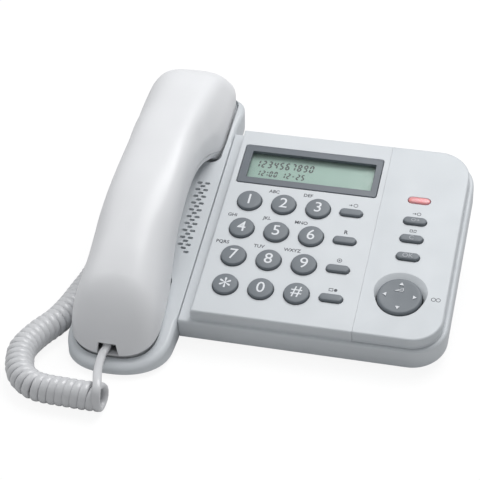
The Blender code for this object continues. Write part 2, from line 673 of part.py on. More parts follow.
# ---------------------------------------------------------------- base cover
FLOOR = 0.0018              # underside of the base, above the desk
COVER = 0.0022              # wall thickness of the base cover
COVER_FRONT = -0.0160       # it stops here, short of the mouth pocket's low end
TUB = (-0.0500, 0.0200, 0.1120, 0.1120)             # x, y of two corners
TUB_TAIL = (-0.0190, 0.1310)                        # the tub's longer part, under the cradle
JACK_HOLE = (0.0100, 0.0062, 0.0240, 0.0182)        # line jack: x, z of two corners
HATCH = (0.0517, 0.0500, 0.0950)                    # battery hatch: x where it begins, y of its sides
HATCH_STEP = 0.0016                                 # the hatch's rails, each side
FEET = {"foot_front_left": (-0.0342, -0.0070), "foot_front_right": (0.1020, 0.0300),
        "foot_back_left": (-0.0380, 0.1220), "foot_back_right": (0.1020, 0.1040)}
BASE_JACK = (-0.0497, 0.1120, 0.0050, -0.0360, 0.1240, 0.0170)
BASE_PLUG = (-0.0512, 0.1142, 0.0078, -0.0392, 0.1218, 0.0142)


def tub_outline(inset):
    x0, y0, x1, y1 = TUB
    tail_x, tail_y = TUB_TAIL
    return [(x0 + inset, y0 + inset), (x1 - inset, y0 + inset), (x1 - inset, y1 - inset),
            (tail_x - inset, y1 - inset), (tail_x - inset, tail_y - inset), (x0 + inset, tail_y - inset)]


def wedge(inset, low, n):
    """The tub's outline, from a level bottom up to a level n of the sloping panel."""
    outline = tub_outline(inset)
    return loft([[(x, y, low) for x, y in outline], [(x, y, panel_height(y, n)) for x, y in outline]])


def make_base_cover():
    """A plate that closes the cases from below, over a tub that stands level on the feet."""
    edge = WALL + GAP
    rings = []
    for fraction, rise in ((1.0, 0.0003), (0.0, 0.0003), (0.0, COVER), (1.0, COVER)):
        rings.append(long_ring(CRADLE, lambda y: cradle_bottom(y) + rise, fraction, edge))
    cover = make_node("base_cover", loft_to_spine(rings, True), DESK, finish=SHELL)
    front = box(-0.0700, CRADLE["front"] - 0.001, 0.0, 0.0, COVER_FRONT, 0.0100)
    combine(cover, make_node("cover_front", front, DESK))
    out = RIM - edge
    left = CRADLE_RIGHT + edge
    radii = (0.0, PLATE_CORNER + out, BACK_CORNER + out, 0.0)
    plate = rounded_outline(left, -out, PLATE_WIDTH + out, PLATE_DEPTH + out, radii)
    combine(cover, make_node("case_plate", prism(plate, SLAB_N, SLAB_N + 0.0021), PANEL), "UNION")
    bridge = box(CRADLE_RIGHT - 0.0060, GAP, SLAB_N + 0.0004, left + 0.0060, 0.1247, SLAB_N + 0.0020)
    combine(cover, make_node("plate_bridge", bridge, PANEL), "UNION")
    combine(cover, make_node("tub", wedge(0.0, FLOOR, SLAB_N + 0.0010), DESK), "UNION")
    combine(cover, make_node("tub_hollow", wedge(COVER, FLOOR + COVER, SLAB_N + 0.0060), DESK))

    seat = SLAB_N + 0.0014
    hole = ((0.0, SLAB_N - 0.001), (0.0028, SLAB_N - 0.001), (0.0028, seat), (0.0016, seat),
            (0.0016, SLAB_N + 0.004), (0.0, SLAB_N + 0.004))
    for number, (u, v) in enumerate(SCREW_SPOTS, 1):
        combine(cover, make_node(f"screw_hole_{number}", turned(hole, 14), PANEL, (u, v, 0.0)))
    x0, z0, x1, z1 = JACK_HOLE
    line_hole = box(x0, TUB[3] - COVER - 0.001, z0, x1, TUB[3] + 0.001, z1)
    combine(cover, make_node("line_jack_hole", line_hole, DESK))
    combine(cover, make_node("cord_jack_hole", socket_for(BASE_PLUG), DESK))
    start, low, high = HATCH
    hatch = box(start, low, FLOOR - 0.001, TUB[2] + 0.001, high, FLOOR + COVER + 0.001)
    combine(cover, make_node("hatch_opening", hatch, DESK))
    rails = box(start - 0.0002, low - HATCH_STEP, FLOOR + 0.0008,
                TUB[2] + 0.002, high + HATCH_STEP, FLOOR + COVER + 0.0001)
    combine(cover, make_node("hatch_rails", rails, DESK))

    screw = ((0.0, SLAB_N + 0.0001), (0.0025, SLAB_N + 0.0001), (0.0025, SLAB_N + 0.0011),
             (0.0013, SLAB_N + 0.0011), (0.0013, -0.0100), (0.0, -0.0090))
    for number, (u, v) in enumerate(SCREW_SPOTS, 1):
        make_node(f"base_screw_{number}", turned(screw, 12), PANEL, (u, v, 0.0), STEEL)
    for name, (x, y) in FEET.items():
        make_node(name, prism(circle_outline(0.0060, 20), 0.0, FLOOR - GAP), DESK, (x, y, 0.0), RUBBER)


def make_battery_bay():
    """The hatch's cover is a T in section: its wide upper half runs in the tub's rails."""
    start, low, high = HATCH
    wide = HATCH_STEP - GAP
    level = FLOOR + 0.0011
    top = FLOOR + COVER - 0.0002
    narrow = ((low + GAP, FLOOR + 0.0001), (high - GAP, FLOOR + 0.0001))
    section = [*narrow, (high - GAP, level), (high + wide, level), (high + wide, top),
               (low - wide, top), (low - wide, level), (low + GAP, level)]
    cover = side_prism(section, start + GAP, TUB[2] - 0.0002)
    make_node("battery_cover", cover, DESK, finish=SHELL)
    tray = box(0.0500, low - 0.0018, 0.0044, 0.1080, high + 0.0018, 0.0204)
    tray = make_node("battery_tray", tray, DESK, finish=DARK_PLASTIC)
    bay = box(0.0514, low - 0.0004, 0.0030, 0.1066, high + 0.0004, 0.0190)
    combine(tray, make_node("battery_bay", bay, DESK))


def make_jacks():
    x0, z0, x1, z1 = JACK_HOLE
    back = TUB[3]
    jack = box(x0 + GAP, back - 0.014, z0 + GAP, x1 - GAP, back, z1 - GAP)
    jack = make_node("line_jack", jack, DESK, finish=DARK_PLASTIC)
    socket = box(x0 + 0.0022, back - 0.0115, z0 + 0.0020, x1 - 0.0022, back + 0.001, z1 - 0.0030)
    combine(jack, make_node("line_jack_socket", socket, DESK))
    x0, y0, z0, x1, y1, z1 = BASE_JACK
    inside = box(TUB[0] + COVER + GAP, y0, z0, x1, y1, z1)
    jack = make_node("base_cord_jack", inside, DESK, finish=DARK_PLASTIC)
    combine(jack, make_node("base_jack_socket", socket_for(BASE_PLUG), DESK))


# ---------------------------------------------------------------- hook switch and speaker
HOOK_PIVOT = (0.1000, -0.0230)      # v, n
HOOK_ARM = 0.0232                   # reach of the lever behind its pin
HOOK_TAB = 0.0121                   # height of its tab, which the handset holds down


def make_hook():
    """A lever on a pin: its tab stands up through the floor of the ear pocket."""
    v, n = HOOK_PIVOT
    outline = arc(0.0, 0.0, 0.0026, 35, 325, 10)
    outline += [(HOOK_ARM, -0.0015), (HOOK_ARM, HOOK_TAB), (HOOK_ARM - 0.0024, HOOK_TAB),
                (HOOK_ARM - 0.0024, 0.0015)]
    lever = side_prism(outline, -0.0025, 0.0025)
    lever = make_node("hook_lever", lever, PANEL, (CRADLE_X, v, n), DARK_PLASTIC)
    bore = side_prism(circle_outline(0.0013, 12), -0.004, 0.004)
    combine(lever, make_node("lever_bore", bore, PANEL, (CRADLE_X, v, n)))
    pin = side_prism(circle_outline(0.0010, 12), -0.0045, 0.0045)
    make_node("hook_pin", pin, PANEL, (CRADLE_X, v, n), STEEL)

    x0, x1 = CRADLE_X - 0.0046, CRADLE_X + 0.0046
    low = FLOOR + COVER + GAP
    switch = make_node("hook_switch", box(x0, 0.0980, low, x1, 0.1070, 0.0285), DESK, finish=DARK_PLASTIC)
    cheeks = box(CRADLE_X - 0.0028, 0.0970, 0.0200, CRADLE_X + 0.0028, 0.1080, 0.0300)
    combine(switch, make_node("lever_slot", cheeks, DESK))
    bearing = side_prism(circle_outline(0.0013, 12), -0.006, 0.006)
    combine(switch, make_node("pin_bearing", bearing, PANEL, (CRADLE_X, v, n)))


def make_speaker():
    cone = ((0.0, -0.0168), (0.009, -0.0168), (0.009, -0.0128), (0.018, -0.0104), (0.018, -0.0090),
            (0.0, -0.0090))
    make_node("ringer_speaker", turned(cone), PANEL, (-0.0310, 0.0620, 0.0), STEEL)


# ---------------------------------------------------------------- curly cord
WIRE = 0.0043               # the cord's width
COIL = 0.0145               # outside diameter of its coils
HANDSET_LEAD = ((CORD_X, -0.0235, 0.0143), (CORD_X, -0.0270, 0.0137), (CORD_X + 0.0002, -0.0330, 0.0129),
                (CORD_X + 0.0004, -0.0400, 0.0123), (CORD_X + 0.0005, -0.0460, 0.0119))
COIL_ROUTE = ((-0.0275, -0.0572, 0.0074), (-0.0380, -0.0575, 0.0074), (-0.0480, -0.0573, 0.0074),
              (-0.0560, -0.0570, 0.0074), (-0.0625, -0.0560, 0.0074), (-0.0683, -0.0528, 0.0074),
              (-0.0732, -0.0476, 0.0074), (-0.0766, -0.0397, 0.0074), (-0.0782, -0.0300, 0.0074),
              (-0.0749, -0.0176, 0.0074), (-0.0692, -0.0050, 0.0074), (-0.0659, 0.0080, 0.0074),
              (-0.0638, 0.0220, 0.0074), (-0.0620, 0.0380, 0.0074), (-0.0618, 0.0700, 0.0074),
              (-0.0624, 0.1020, 0.0074))
BASE_LEAD = ((-0.0624, 0.1024, 0.0074), (-0.0621, 0.1085, 0.0082), (-0.0600, 0.1140, 0.0095),
             (-0.0562, 0.1173, 0.0107), (-0.0515, 0.1180, 0.0110))


def smooth_route(points, count):
    """Evenly numbered places on a Catmull-Rom curve through the route's points."""
    last = len(points) - 1
    marks = [last * k / (count - 1) for k in range(count)]
    tracks = [[(k, point[axis]) for k, point in enumerate(points)] for axis in range(3)]
    return [tuple(along(mark, track) for track in tracks) for mark in marks]


def make_tube(name, route, count, diameter, resolution):
    curve = bpy.data.curves.new(name, "CURVE")
    curve.dimensions = "3D"
    curve.bevel_depth = diameter / 2
    curve.bevel_resolution = resolution
    curve.use_fill_caps = True
    spline = curve.splines.new("POLY")
    spline.points.add(count - 1)
    for point, place in zip(spline.points, smooth_route(route, count)):
        point.co = (*place, 1.0)
    tube = bpy.data.objects.new(name, curve)
    tube.parent = DESK
    MODEL.objects.link(tube)
    add_material(tube, *CORD)


def make_cord():
    make_tube("handset_lead", HANDSET_LEAD, 6, WIRE, 2)
    make_tube("cord_coil", COIL_ROUTE, 29, COIL, 3)
    make_tube("base_lead", BASE_LEAD, 7, WIRE, 2)
    make_node("handset_plug", box(*HANDSET_PLUG), DESK, finish=CLEAR)
    make_node("base_plug", box(*BASE_PLUG), DESK, finish=CLEAR)


# ---------------------------------------------------------------- build
clear_scene()
MODEL = make_collection("corded_telephone")
CUTTERS = make_collection("cutters")
DESK = make_empty("desk_frame", (PANEL_X, PANEL_Y, 0.0))
PANEL = make_empty("panel_frame", (0.0, 0.0, PANEL_Z), PANEL_TILT, DESK)

make_keypad_case()
make_control_panel()
make_keys()
make_navigator()
make_display()
make_electronics()
make_cradle()
make_handset()
make_handset_insides()
make_base_cover()
make_battery_bay()
make_jacks()
make_hook()
make_speaker()
make_cord()
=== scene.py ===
"""A corded desk telephone, finished for its picture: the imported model's plain solids are
replaced by finer ones, printed legends and the curly cord are added, and every surface gets
its own procedural material. Metres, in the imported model's frame, with the desk at z = 0."""

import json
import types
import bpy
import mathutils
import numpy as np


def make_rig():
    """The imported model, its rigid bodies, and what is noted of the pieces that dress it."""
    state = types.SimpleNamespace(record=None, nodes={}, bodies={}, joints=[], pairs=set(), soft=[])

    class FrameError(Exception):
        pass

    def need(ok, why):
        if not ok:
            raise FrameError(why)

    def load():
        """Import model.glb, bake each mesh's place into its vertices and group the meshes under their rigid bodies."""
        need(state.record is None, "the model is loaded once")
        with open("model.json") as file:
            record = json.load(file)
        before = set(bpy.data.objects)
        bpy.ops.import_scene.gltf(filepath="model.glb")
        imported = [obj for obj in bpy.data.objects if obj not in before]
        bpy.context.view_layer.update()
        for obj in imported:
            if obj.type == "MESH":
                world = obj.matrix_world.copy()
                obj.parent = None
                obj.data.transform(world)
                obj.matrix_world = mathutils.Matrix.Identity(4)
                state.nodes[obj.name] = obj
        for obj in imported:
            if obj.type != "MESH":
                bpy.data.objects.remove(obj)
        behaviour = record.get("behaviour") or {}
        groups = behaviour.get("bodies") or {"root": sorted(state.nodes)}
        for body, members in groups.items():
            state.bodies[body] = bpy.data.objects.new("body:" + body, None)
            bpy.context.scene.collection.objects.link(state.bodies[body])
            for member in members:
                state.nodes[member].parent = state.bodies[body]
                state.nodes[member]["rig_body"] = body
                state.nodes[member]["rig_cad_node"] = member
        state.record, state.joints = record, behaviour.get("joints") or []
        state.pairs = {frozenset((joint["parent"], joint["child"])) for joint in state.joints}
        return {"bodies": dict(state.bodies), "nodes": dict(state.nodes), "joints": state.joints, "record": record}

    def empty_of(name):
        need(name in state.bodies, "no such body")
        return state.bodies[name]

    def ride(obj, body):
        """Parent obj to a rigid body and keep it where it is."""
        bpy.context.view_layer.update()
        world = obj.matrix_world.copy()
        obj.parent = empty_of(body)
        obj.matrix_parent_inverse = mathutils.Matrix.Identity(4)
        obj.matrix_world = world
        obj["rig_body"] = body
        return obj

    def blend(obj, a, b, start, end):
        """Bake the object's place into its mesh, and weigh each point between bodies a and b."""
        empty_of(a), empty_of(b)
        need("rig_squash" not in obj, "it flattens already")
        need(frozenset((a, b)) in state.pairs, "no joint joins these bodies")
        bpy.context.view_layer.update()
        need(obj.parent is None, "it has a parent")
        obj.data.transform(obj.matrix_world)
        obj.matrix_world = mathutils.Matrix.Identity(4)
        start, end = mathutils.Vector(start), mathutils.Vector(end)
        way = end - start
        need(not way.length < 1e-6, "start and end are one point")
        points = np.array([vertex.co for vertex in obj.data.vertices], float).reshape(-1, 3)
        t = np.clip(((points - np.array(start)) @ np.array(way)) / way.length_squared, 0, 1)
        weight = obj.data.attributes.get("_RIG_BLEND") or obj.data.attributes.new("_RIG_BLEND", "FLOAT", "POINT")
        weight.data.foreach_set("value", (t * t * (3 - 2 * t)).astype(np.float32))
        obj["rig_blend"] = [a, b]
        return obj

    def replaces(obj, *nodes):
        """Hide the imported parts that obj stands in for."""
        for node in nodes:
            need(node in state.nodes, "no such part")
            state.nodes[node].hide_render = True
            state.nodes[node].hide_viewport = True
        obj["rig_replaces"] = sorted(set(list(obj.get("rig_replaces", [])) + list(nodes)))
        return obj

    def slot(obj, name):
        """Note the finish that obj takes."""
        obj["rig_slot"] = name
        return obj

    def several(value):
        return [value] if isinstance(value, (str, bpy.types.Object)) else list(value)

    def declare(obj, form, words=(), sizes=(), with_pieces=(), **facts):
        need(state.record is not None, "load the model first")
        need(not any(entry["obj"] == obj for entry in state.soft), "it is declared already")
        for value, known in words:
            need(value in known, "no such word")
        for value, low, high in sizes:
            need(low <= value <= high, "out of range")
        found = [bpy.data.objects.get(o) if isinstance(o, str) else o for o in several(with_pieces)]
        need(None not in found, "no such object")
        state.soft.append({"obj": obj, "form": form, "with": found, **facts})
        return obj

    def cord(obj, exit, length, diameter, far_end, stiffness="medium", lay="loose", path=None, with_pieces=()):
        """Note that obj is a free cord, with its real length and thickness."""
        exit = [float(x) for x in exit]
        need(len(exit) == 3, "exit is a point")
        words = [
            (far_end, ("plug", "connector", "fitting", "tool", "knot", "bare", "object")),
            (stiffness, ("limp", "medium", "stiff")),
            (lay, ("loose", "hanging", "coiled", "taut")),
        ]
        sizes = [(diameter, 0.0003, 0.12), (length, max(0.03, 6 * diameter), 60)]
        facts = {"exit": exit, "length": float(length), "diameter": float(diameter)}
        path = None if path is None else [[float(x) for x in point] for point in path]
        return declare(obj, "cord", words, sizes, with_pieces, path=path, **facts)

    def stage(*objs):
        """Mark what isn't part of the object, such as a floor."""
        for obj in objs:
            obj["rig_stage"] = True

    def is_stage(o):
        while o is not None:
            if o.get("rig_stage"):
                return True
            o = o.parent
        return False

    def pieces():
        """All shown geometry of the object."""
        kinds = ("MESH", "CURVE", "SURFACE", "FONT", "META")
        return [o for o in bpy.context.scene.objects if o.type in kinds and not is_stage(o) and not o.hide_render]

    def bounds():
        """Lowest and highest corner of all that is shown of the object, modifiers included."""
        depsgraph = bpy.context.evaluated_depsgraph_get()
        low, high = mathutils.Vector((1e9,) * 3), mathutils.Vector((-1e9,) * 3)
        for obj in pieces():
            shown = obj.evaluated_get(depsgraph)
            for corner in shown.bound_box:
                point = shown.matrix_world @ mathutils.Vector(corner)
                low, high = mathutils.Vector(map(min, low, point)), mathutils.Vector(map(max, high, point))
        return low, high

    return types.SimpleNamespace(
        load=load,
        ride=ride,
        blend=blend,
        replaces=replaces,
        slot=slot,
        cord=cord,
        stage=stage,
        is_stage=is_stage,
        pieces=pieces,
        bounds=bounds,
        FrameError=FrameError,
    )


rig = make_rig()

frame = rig.load()
cad_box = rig.bounds()

import json
import math

import bmesh
import bpy
from mathutils import Matrix, Vector

# ---------------------------------------------------------------- sizes shared with part.py
PANEL_X = -0.0323
PANEL_Y = -0.0653
PANEL_Z = 0.0218
PANEL_TILT = math.radians(15.0)
DESK = Matrix.Translation((PANEL_X, PANEL_Y, 0.0))
PANEL = DESK @ Matrix.Translation((0.0, 0.0, PANEL_Z)) @ Matrix.Rotation(PANEL_TILT, 4, "X")

PLATE_WIDTH = 0.12475
PLATE_DEPTH = 0.1271
SEAM_U = 0.0818
LEDGE_N = -0.0065
SLAB_N = -0.0195
RIM = 0.0025
WALL = 0.0024
GAP = 0.0003
SEAM = 0.00009              # width of the joints that show between mouldings
PLATE_CORNER = 0.0155
BACK_CORNER = 0.0172

KEY_COLUMNS = (0.0138, 0.0321, 0.0504)
KEY_ROWS = (0.0762, 0.0571, 0.0381, 0.01905)
KEY_NAMES = (("1", "2", "3"), ("4", "5", "6"), ("7", "8", "9"), ("star", "0", "hash"))
KEY_RADIUS = 0.0064
KEY_HEIGHT = 0.0018
KEY_CLEARANCE = 0.0003
FLANGE = 0.0011
FLANGE_TOP = -0.0028
FLANGE_BOTTOM = -0.0038
DIGIT_PRINT = (0.0094, 0.00003)     # size, how much bolder than the font
STAR_PRINT = (0.0142, 0.00006)
PRINT = 0.00005             # thickness of printed marks
FUNCTION_U = 0.0679
FUNCTION_NAMES = ("speaker_key", "recall_key", "redial_key", "pause_key")
OVAL = (0.0118, 0.0045)
CONTROL_U = 0.1013
CONTROL_KEYS = {"edit_key": 0.0758, "clear_key": 0.0638, "enter_key": 0.0518}
NAVIGATOR = (0.1013, 0.0255)
NAVIGATOR_RADIUS = 0.0113
NAVIGATOR_HEIGHT = 0.0014
NAVIGATOR_CLEARANCE = 0.0005
COUNTERSINK = (0.0042, -0.0021)     # widening at the back of the hole, depth
LENS_V = 0.0905
LENS = (0.0115, 0.0042)
BEZEL = (0.0037, 0.0890, 0.0786, 0.1162)
BEZEL_CORNER = 0.0012
WINDOW = (0.0081, 0.0933, 0.0752, 0.1119)

CRADLE_X = -0.0342
CRADLE_RIGHT = -0.0066
CRADLE_FLOOR = 0.0018
SCREW_SPOTS = ((0.012, 0.0042), (0.106, 0.0042), (0.012, 0.1229), (0.104, 0.1229))
NOTCH_TOP = SLAB_N + 0.0027

# ---------------------------------------------------------------- camera, stage and light
CAMERA_PLACE = (0.178173, -0.622728, 0.515052)      # in the desk frame
CAMERA_AZIMUTH = math.radians(13.70805)            # round to the phone's right
CAMERA_ELEVATION = math.radians(34.8576)
CAMERA_ROLL = math.radians(-0.72945)
CAMERA_LENS = 122.396


def make_camera():
    data = bpy.data.cameras.new("camera")
    data.lens = CAMERA_LENS
    data.sensor_width = 36.0
    data.clip_start = 0.02
    camera = bpy.data.objects.new("camera", data)
    bpy.context.scene.collection.objects.link(camera)
    turn = Matrix.Rotation(CAMERA_AZIMUTH, 4, "Z") @ Matrix.Rotation(math.pi / 2 - CAMERA_ELEVATION, 4, "X")
    turn = turn @ Matrix.Rotation(CAMERA_ROLL, 4, "Z")
    camera.matrix_world = Matrix.Translation(DESK @ Vector(CAMERA_PLACE)) @ turn
    bpy.context.scene.camera = camera


def make_light(name, place, size, power):
    """A square area light that shines on the middle of the phone."""
    data = bpy.data.lights.new(name, "AREA")
    data.shape = "RECTANGLE"
    data.size = data.size_y = size
    data.energy = power
    light = bpy.data.objects.new(name, data)
    light.location = place
    aim = Vector((0.0, 0.0, 0.02)) - Vector(place)
    light.rotation_euler = aim.to_track_quat("-Z", "Y").to_euler()
    bpy.context.scene.collection.objects.link(light)


def make_stage():
    bpy.context.scene.view_settings.view_transform = "Standard"
    world = bpy.data.worlds.new("studio")
    world.use_nodes = True
    background = world.node_tree.nodes["Background"]
    background.inputs["Color"].default_value = (0.96, 0.98, 1.0, 1.0)
    background.inputs["Strength"].default_value = 0.40
    bpy.context.scene.world = world
    make_light("key_light", (0.20, 0.40, 1.05), 0.7, 9.2)
    make_light("fill_light", (-0.80, 0.05, 0.85), 0.8, 1.8)
    bm = bmesh.new()
    bmesh.ops.create_grid(bm, x_segments=2, y_segments=2, size=4.0)
    mesh = bpy.data.meshes.new("floor")
    bm.to_mesh(mesh)
    bm.free()
    floor = bpy.data.objects.new("floor", mesh)
    floor.location.z = -0.0002
    bpy.context.scene.collection.objects.link(floor)
    mesh.materials.append(floor_paper())
    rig.stage(floor)


# ---------------------------------------------------------------- materials


class Nodes:
    """A material's node tree, with short calls for the nodes used here."""

    def __init__(self, name):
        self.material = bpy.data.materials.new(name)
        self.material.use_nodes = True
        self.tree = self.material.node_tree
        self.shader = self.tree.nodes["Principled BSDF"]
        self.place = self.add("ShaderNodeTexCoord").outputs["Object"]

    def add(self, kind, **values):
        node = self.tree.nodes.new(kind)
        for key, value in values.items():
            if hasattr(node, key):
                setattr(node, key, value)
            else:
                node.inputs[key.replace("_", " ").title()].default_value = value
        return node

    def link(self, start, end):
        self.tree.links.new(start, end)

    def set(self, **values):
        for key, value in values.items():
            self.shader.inputs[key.replace("_", " ").title()].default_value = value

    def noise(self, scale, detail=3.0, stretch=None):
        node = self.add("ShaderNodeTexNoise", scale=scale, detail=detail)
        place = self.place
        if stretch:
            mapping = self.add("ShaderNodeMapping")
            mapping.inputs["Scale"].default_value = stretch
            self.link(place, mapping.inputs["Vector"])
            place = mapping.outputs["Vector"]
        self.link(place, node.inputs["Vector"])
        return node.outputs["Fac"]

    def ramp(self, fac, stops):
        node = self.add("ShaderNodeValToRGB")
        elements = node.color_ramp.elements
        while len(elements) < len(stops):
            elements.new(0.5)
        for element, (position, color) in zip(elements, stops):
            element.position = position
            element.color = (*color, 1.0)
        self.link(fac, node.inputs["Fac"])
        return node.outputs["Color"]

    def spread(self, fac, low, high):
        node = self.add("ShaderNodeMapRange")
        node.inputs["From Min"].default_value = 0.3
        node.inputs["From Max"].default_value = 0.7
        node.inputs["To Min"].default_value = low
        node.inputs["To Max"].default_value = high
        self.link(fac, node.inputs["Value"])
        return node.outputs["Result"]

    def color(self, source):
        self.link(source, self.shader.inputs["Base Color"])

    def roughness(self, fac, low, high):
        self.link(self.spread(fac, low, high), self.shader.inputs["Roughness"])

    def shades(self, fac, color, dark, light=1.0):
        return self.ramp(fac, ((0.3, tint(color, dark)), (0.7, tint(color, light))))

    def mix(self, factor, first, second, **values):
        """A blend of two colours. A factor or a colour may be a socket or a plain value."""
        node = self.add("ShaderNodeMix", data_type="RGBA", **values)
        for key, value in (("Factor", factor), ("A", first), ("B", second)):
            if isinstance(value, bpy.types.NodeSocket):
                self.link(value, node.inputs[key])
            else:
                node.inputs[key].default_value = value
        return node.outputs["Result"]

    def bump(self, heights, strength, distance):
        """Bumps from (height, share of the strength) pairs, one on top of another."""
        normal = None
        for height, share in heights:
            node = self.add("ShaderNodeBump")
            node.inputs["Strength"].default_value = strength * share
            node.inputs["Distance"].default_value = distance
            self.link(height, node.inputs["Height"])
            if normal:
                self.link(normal, node.inputs["Normal"])
            normal = node.outputs["Normal"]
        self.link(normal, self.shader.inputs["Normal"])


def tint(color, factor):
    return tuple(min(channel * factor, 1.0) for channel in color)


GLOSS_VARY = 0.05


def plastic(name, color, roughness, grain=2600.0, bump=0.10, vary=0.02, wear=0.0):
    """Moulded plastic: a fine spark-eroded grain, faint clouding, and a little edge wear."""
    n = Nodes(name)
    base = n.shades(n.noise(28.0, 2.0), color, 1.0 - vary, 1.0 + vary)
    if wear:
        geometry = n.add("ShaderNodeNewGeometry")
        edge = n.ramp(geometry.outputs["Pointiness"], ((0.50, (0, 0, 0)), (0.58, (1, 1, 1))))
        scale = n.add("ShaderNodeMath", operation="MULTIPLY")
        scale.inputs[1].default_value = wear
        n.link(edge, scale.inputs[0])
        base = n.mix(scale.outputs[0], base, (*tint(color, 1.3), 1.0))
    n.color(base)
    n.roughness(n.noise(70.0), roughness - GLOSS_VARY, roughness + GLOSS_VARY)
    n.bump(((n.noise(grain, 2.0), 1.0), (n.noise(grain / 14, 2.0), 0.25)), bump, 0.00012)
    return n.material


def clear_plastic(name, color, alpha, roughness=0.06):
    """A clear moulding: mostly see-through, with faint flow lines in its gloss."""
    n = Nodes(name)
    flow = n.noise(160.0, 2.0, (1.0, 0.25, 1.0))
    n.color(n.shades(flow, color, 0.97))
    n.roughness(n.noise(300.0), roughness * 0.7, roughness * 1.4)
    n.set(alpha=alpha)
    n.shader.inputs["IOR"].default_value = 1.49
    n.bump(((flow, 1.0),), 0.05, 0.0001)
    return n.material


def lens_plastic(name, color):
    """Diffusing tinted plastic, with the ribs of a light guide under its face."""
    n = Nodes(name)
    wave = n.add("ShaderNodeTexWave", scale=420.0, distortion=0.4)
    n.link(n.place, wave.inputs["Vector"])
    n.color(n.ramp(wave.outputs["Fac"], ((0.0, tint(color, 0.93)), (1.0, color))))
    n.roughness(n.noise(400.0), 0.16, 0.26)
    n.set(subsurface_weight=0.35, subsurface_scale=0.002)
    n.bump(((n.noise(900.0), 1.0),), 0.04, 0.0001)
    return n.material


def metal(name, color, roughness):
    """Plated or drawn steel with faint drawing marks."""
    n = Nodes(name)
    marks = n.noise(700.0, 4.0, (1.0, 14.0, 1.0))
    n.color(n.shades(marks, color, 0.86))
    n.roughness(marks, roughness - 0.08, roughness + 0.10)
    n.set(metallic=1.0)
    n.bump(((marks, 1.0),), 0.08, 0.0001)
    return n.material


def circuit_board(name):
    """Green solder mask over copper tracks, with tinned pads."""
    n = Nodes(name)
    tracks = n.add("ShaderNodeTexBrick", scale=260.0)
    tracks.offset = 0.37
    n.link(n.place, tracks.inputs["Vector"])
    tracks.inputs["Color1"].default_value = (0.02, 0.16, 0.06, 1.0)
    tracks.inputs["Color2"].default_value = (0.03, 0.21, 0.08, 1.0)
    tracks.inputs["Mortar"].default_value = (0.05, 0.30, 0.12, 1.0)
    pads = n.add("ShaderNodeTexVoronoi", scale=240.0)
    n.link(n.place, pads.inputs["Vector"])
    spot = n.ramp(pads.outputs["Distance"], ((0.16, (1, 1, 1)), (0.20, (0, 0, 0))))
    n.color(n.mix(spot, tracks.outputs["Color"], (0.62, 0.63, 0.64, 1.0)))
    n.roughness(n.noise(200.0), 0.30, 0.45)
    n.bump(((tracks.outputs["Fac"], 1.0),), 0.2, 0.0001)
    return n.material


def ink(name, color):
    """Printed ink: slightly uneven cover, matt."""
    n = Nodes(name)
    cover = n.noise(2400.0, 2.0)
    n.color(n.shades(cover, color, 0.92))
    n.roughness(n.noise(500.0), 0.5, 0.62)
    n.bump(((cover, 1.0),), 0.05, 0.00005)
    return n.material


def lcd_material(name):
    """Reflective LCD: grey-green, slightly clouded, with a faint cell pattern."""
    n = Nodes(name)
    cells = n.add("ShaderNodeTexVoronoi", scale=2600.0)
    n.link(n.place, cells.inputs["Vector"])
    base = n.shades(n.noise(18.0, 1.0), (0.275, 0.425, 0.360), 0.94, 1.05)
    grid = n.ramp(cells.outputs["Distance"], ((0.0, (0.96, 0.96, 0.96)), (0.6, (1.0, 1.0, 1.0))))
    n.color(n.mix(1.0, base, grid, blend_type="MULTIPLY"))
    n.roughness(n.noise(300.0), 0.28, 0.38)
    n.bump(((cells.outputs["Distance"], 1.0),), 0.03, 0.00005)
    return n.material


def floor_paper():
    """White paper that looks bright to the camera and throws less light back on the walls."""
    paper = plastic("floor_paper", (0.62, 0.62, 0.62), 0.9, grain=900.0, bump=0.05)
    nodes, links = paper.node_tree.nodes, paper.node_tree.links
    glow = nodes.new("ShaderNodeEmission")
    glow.inputs["Strength"].default_value = 1.12
    share = nodes.new("ShaderNodeMath")
    share.operation = "MULTIPLY"
    share.inputs[1].default_value = 0.80
    mix = nodes.new("ShaderNodeMixShader")
    links.new(nodes.new("ShaderNodeLightPath").outputs["Is Camera Ray"], share.inputs[0])
    for k, node in enumerate((share, nodes["Principled BSDF"], glow)):
        links.new(node.outputs[0], mix.inputs[k])
    links.new(mix.outputs[0], nodes["Material Output"].inputs["Surface"])
    return paper


CASE_COLOR = (0.620, 0.648, 0.672)


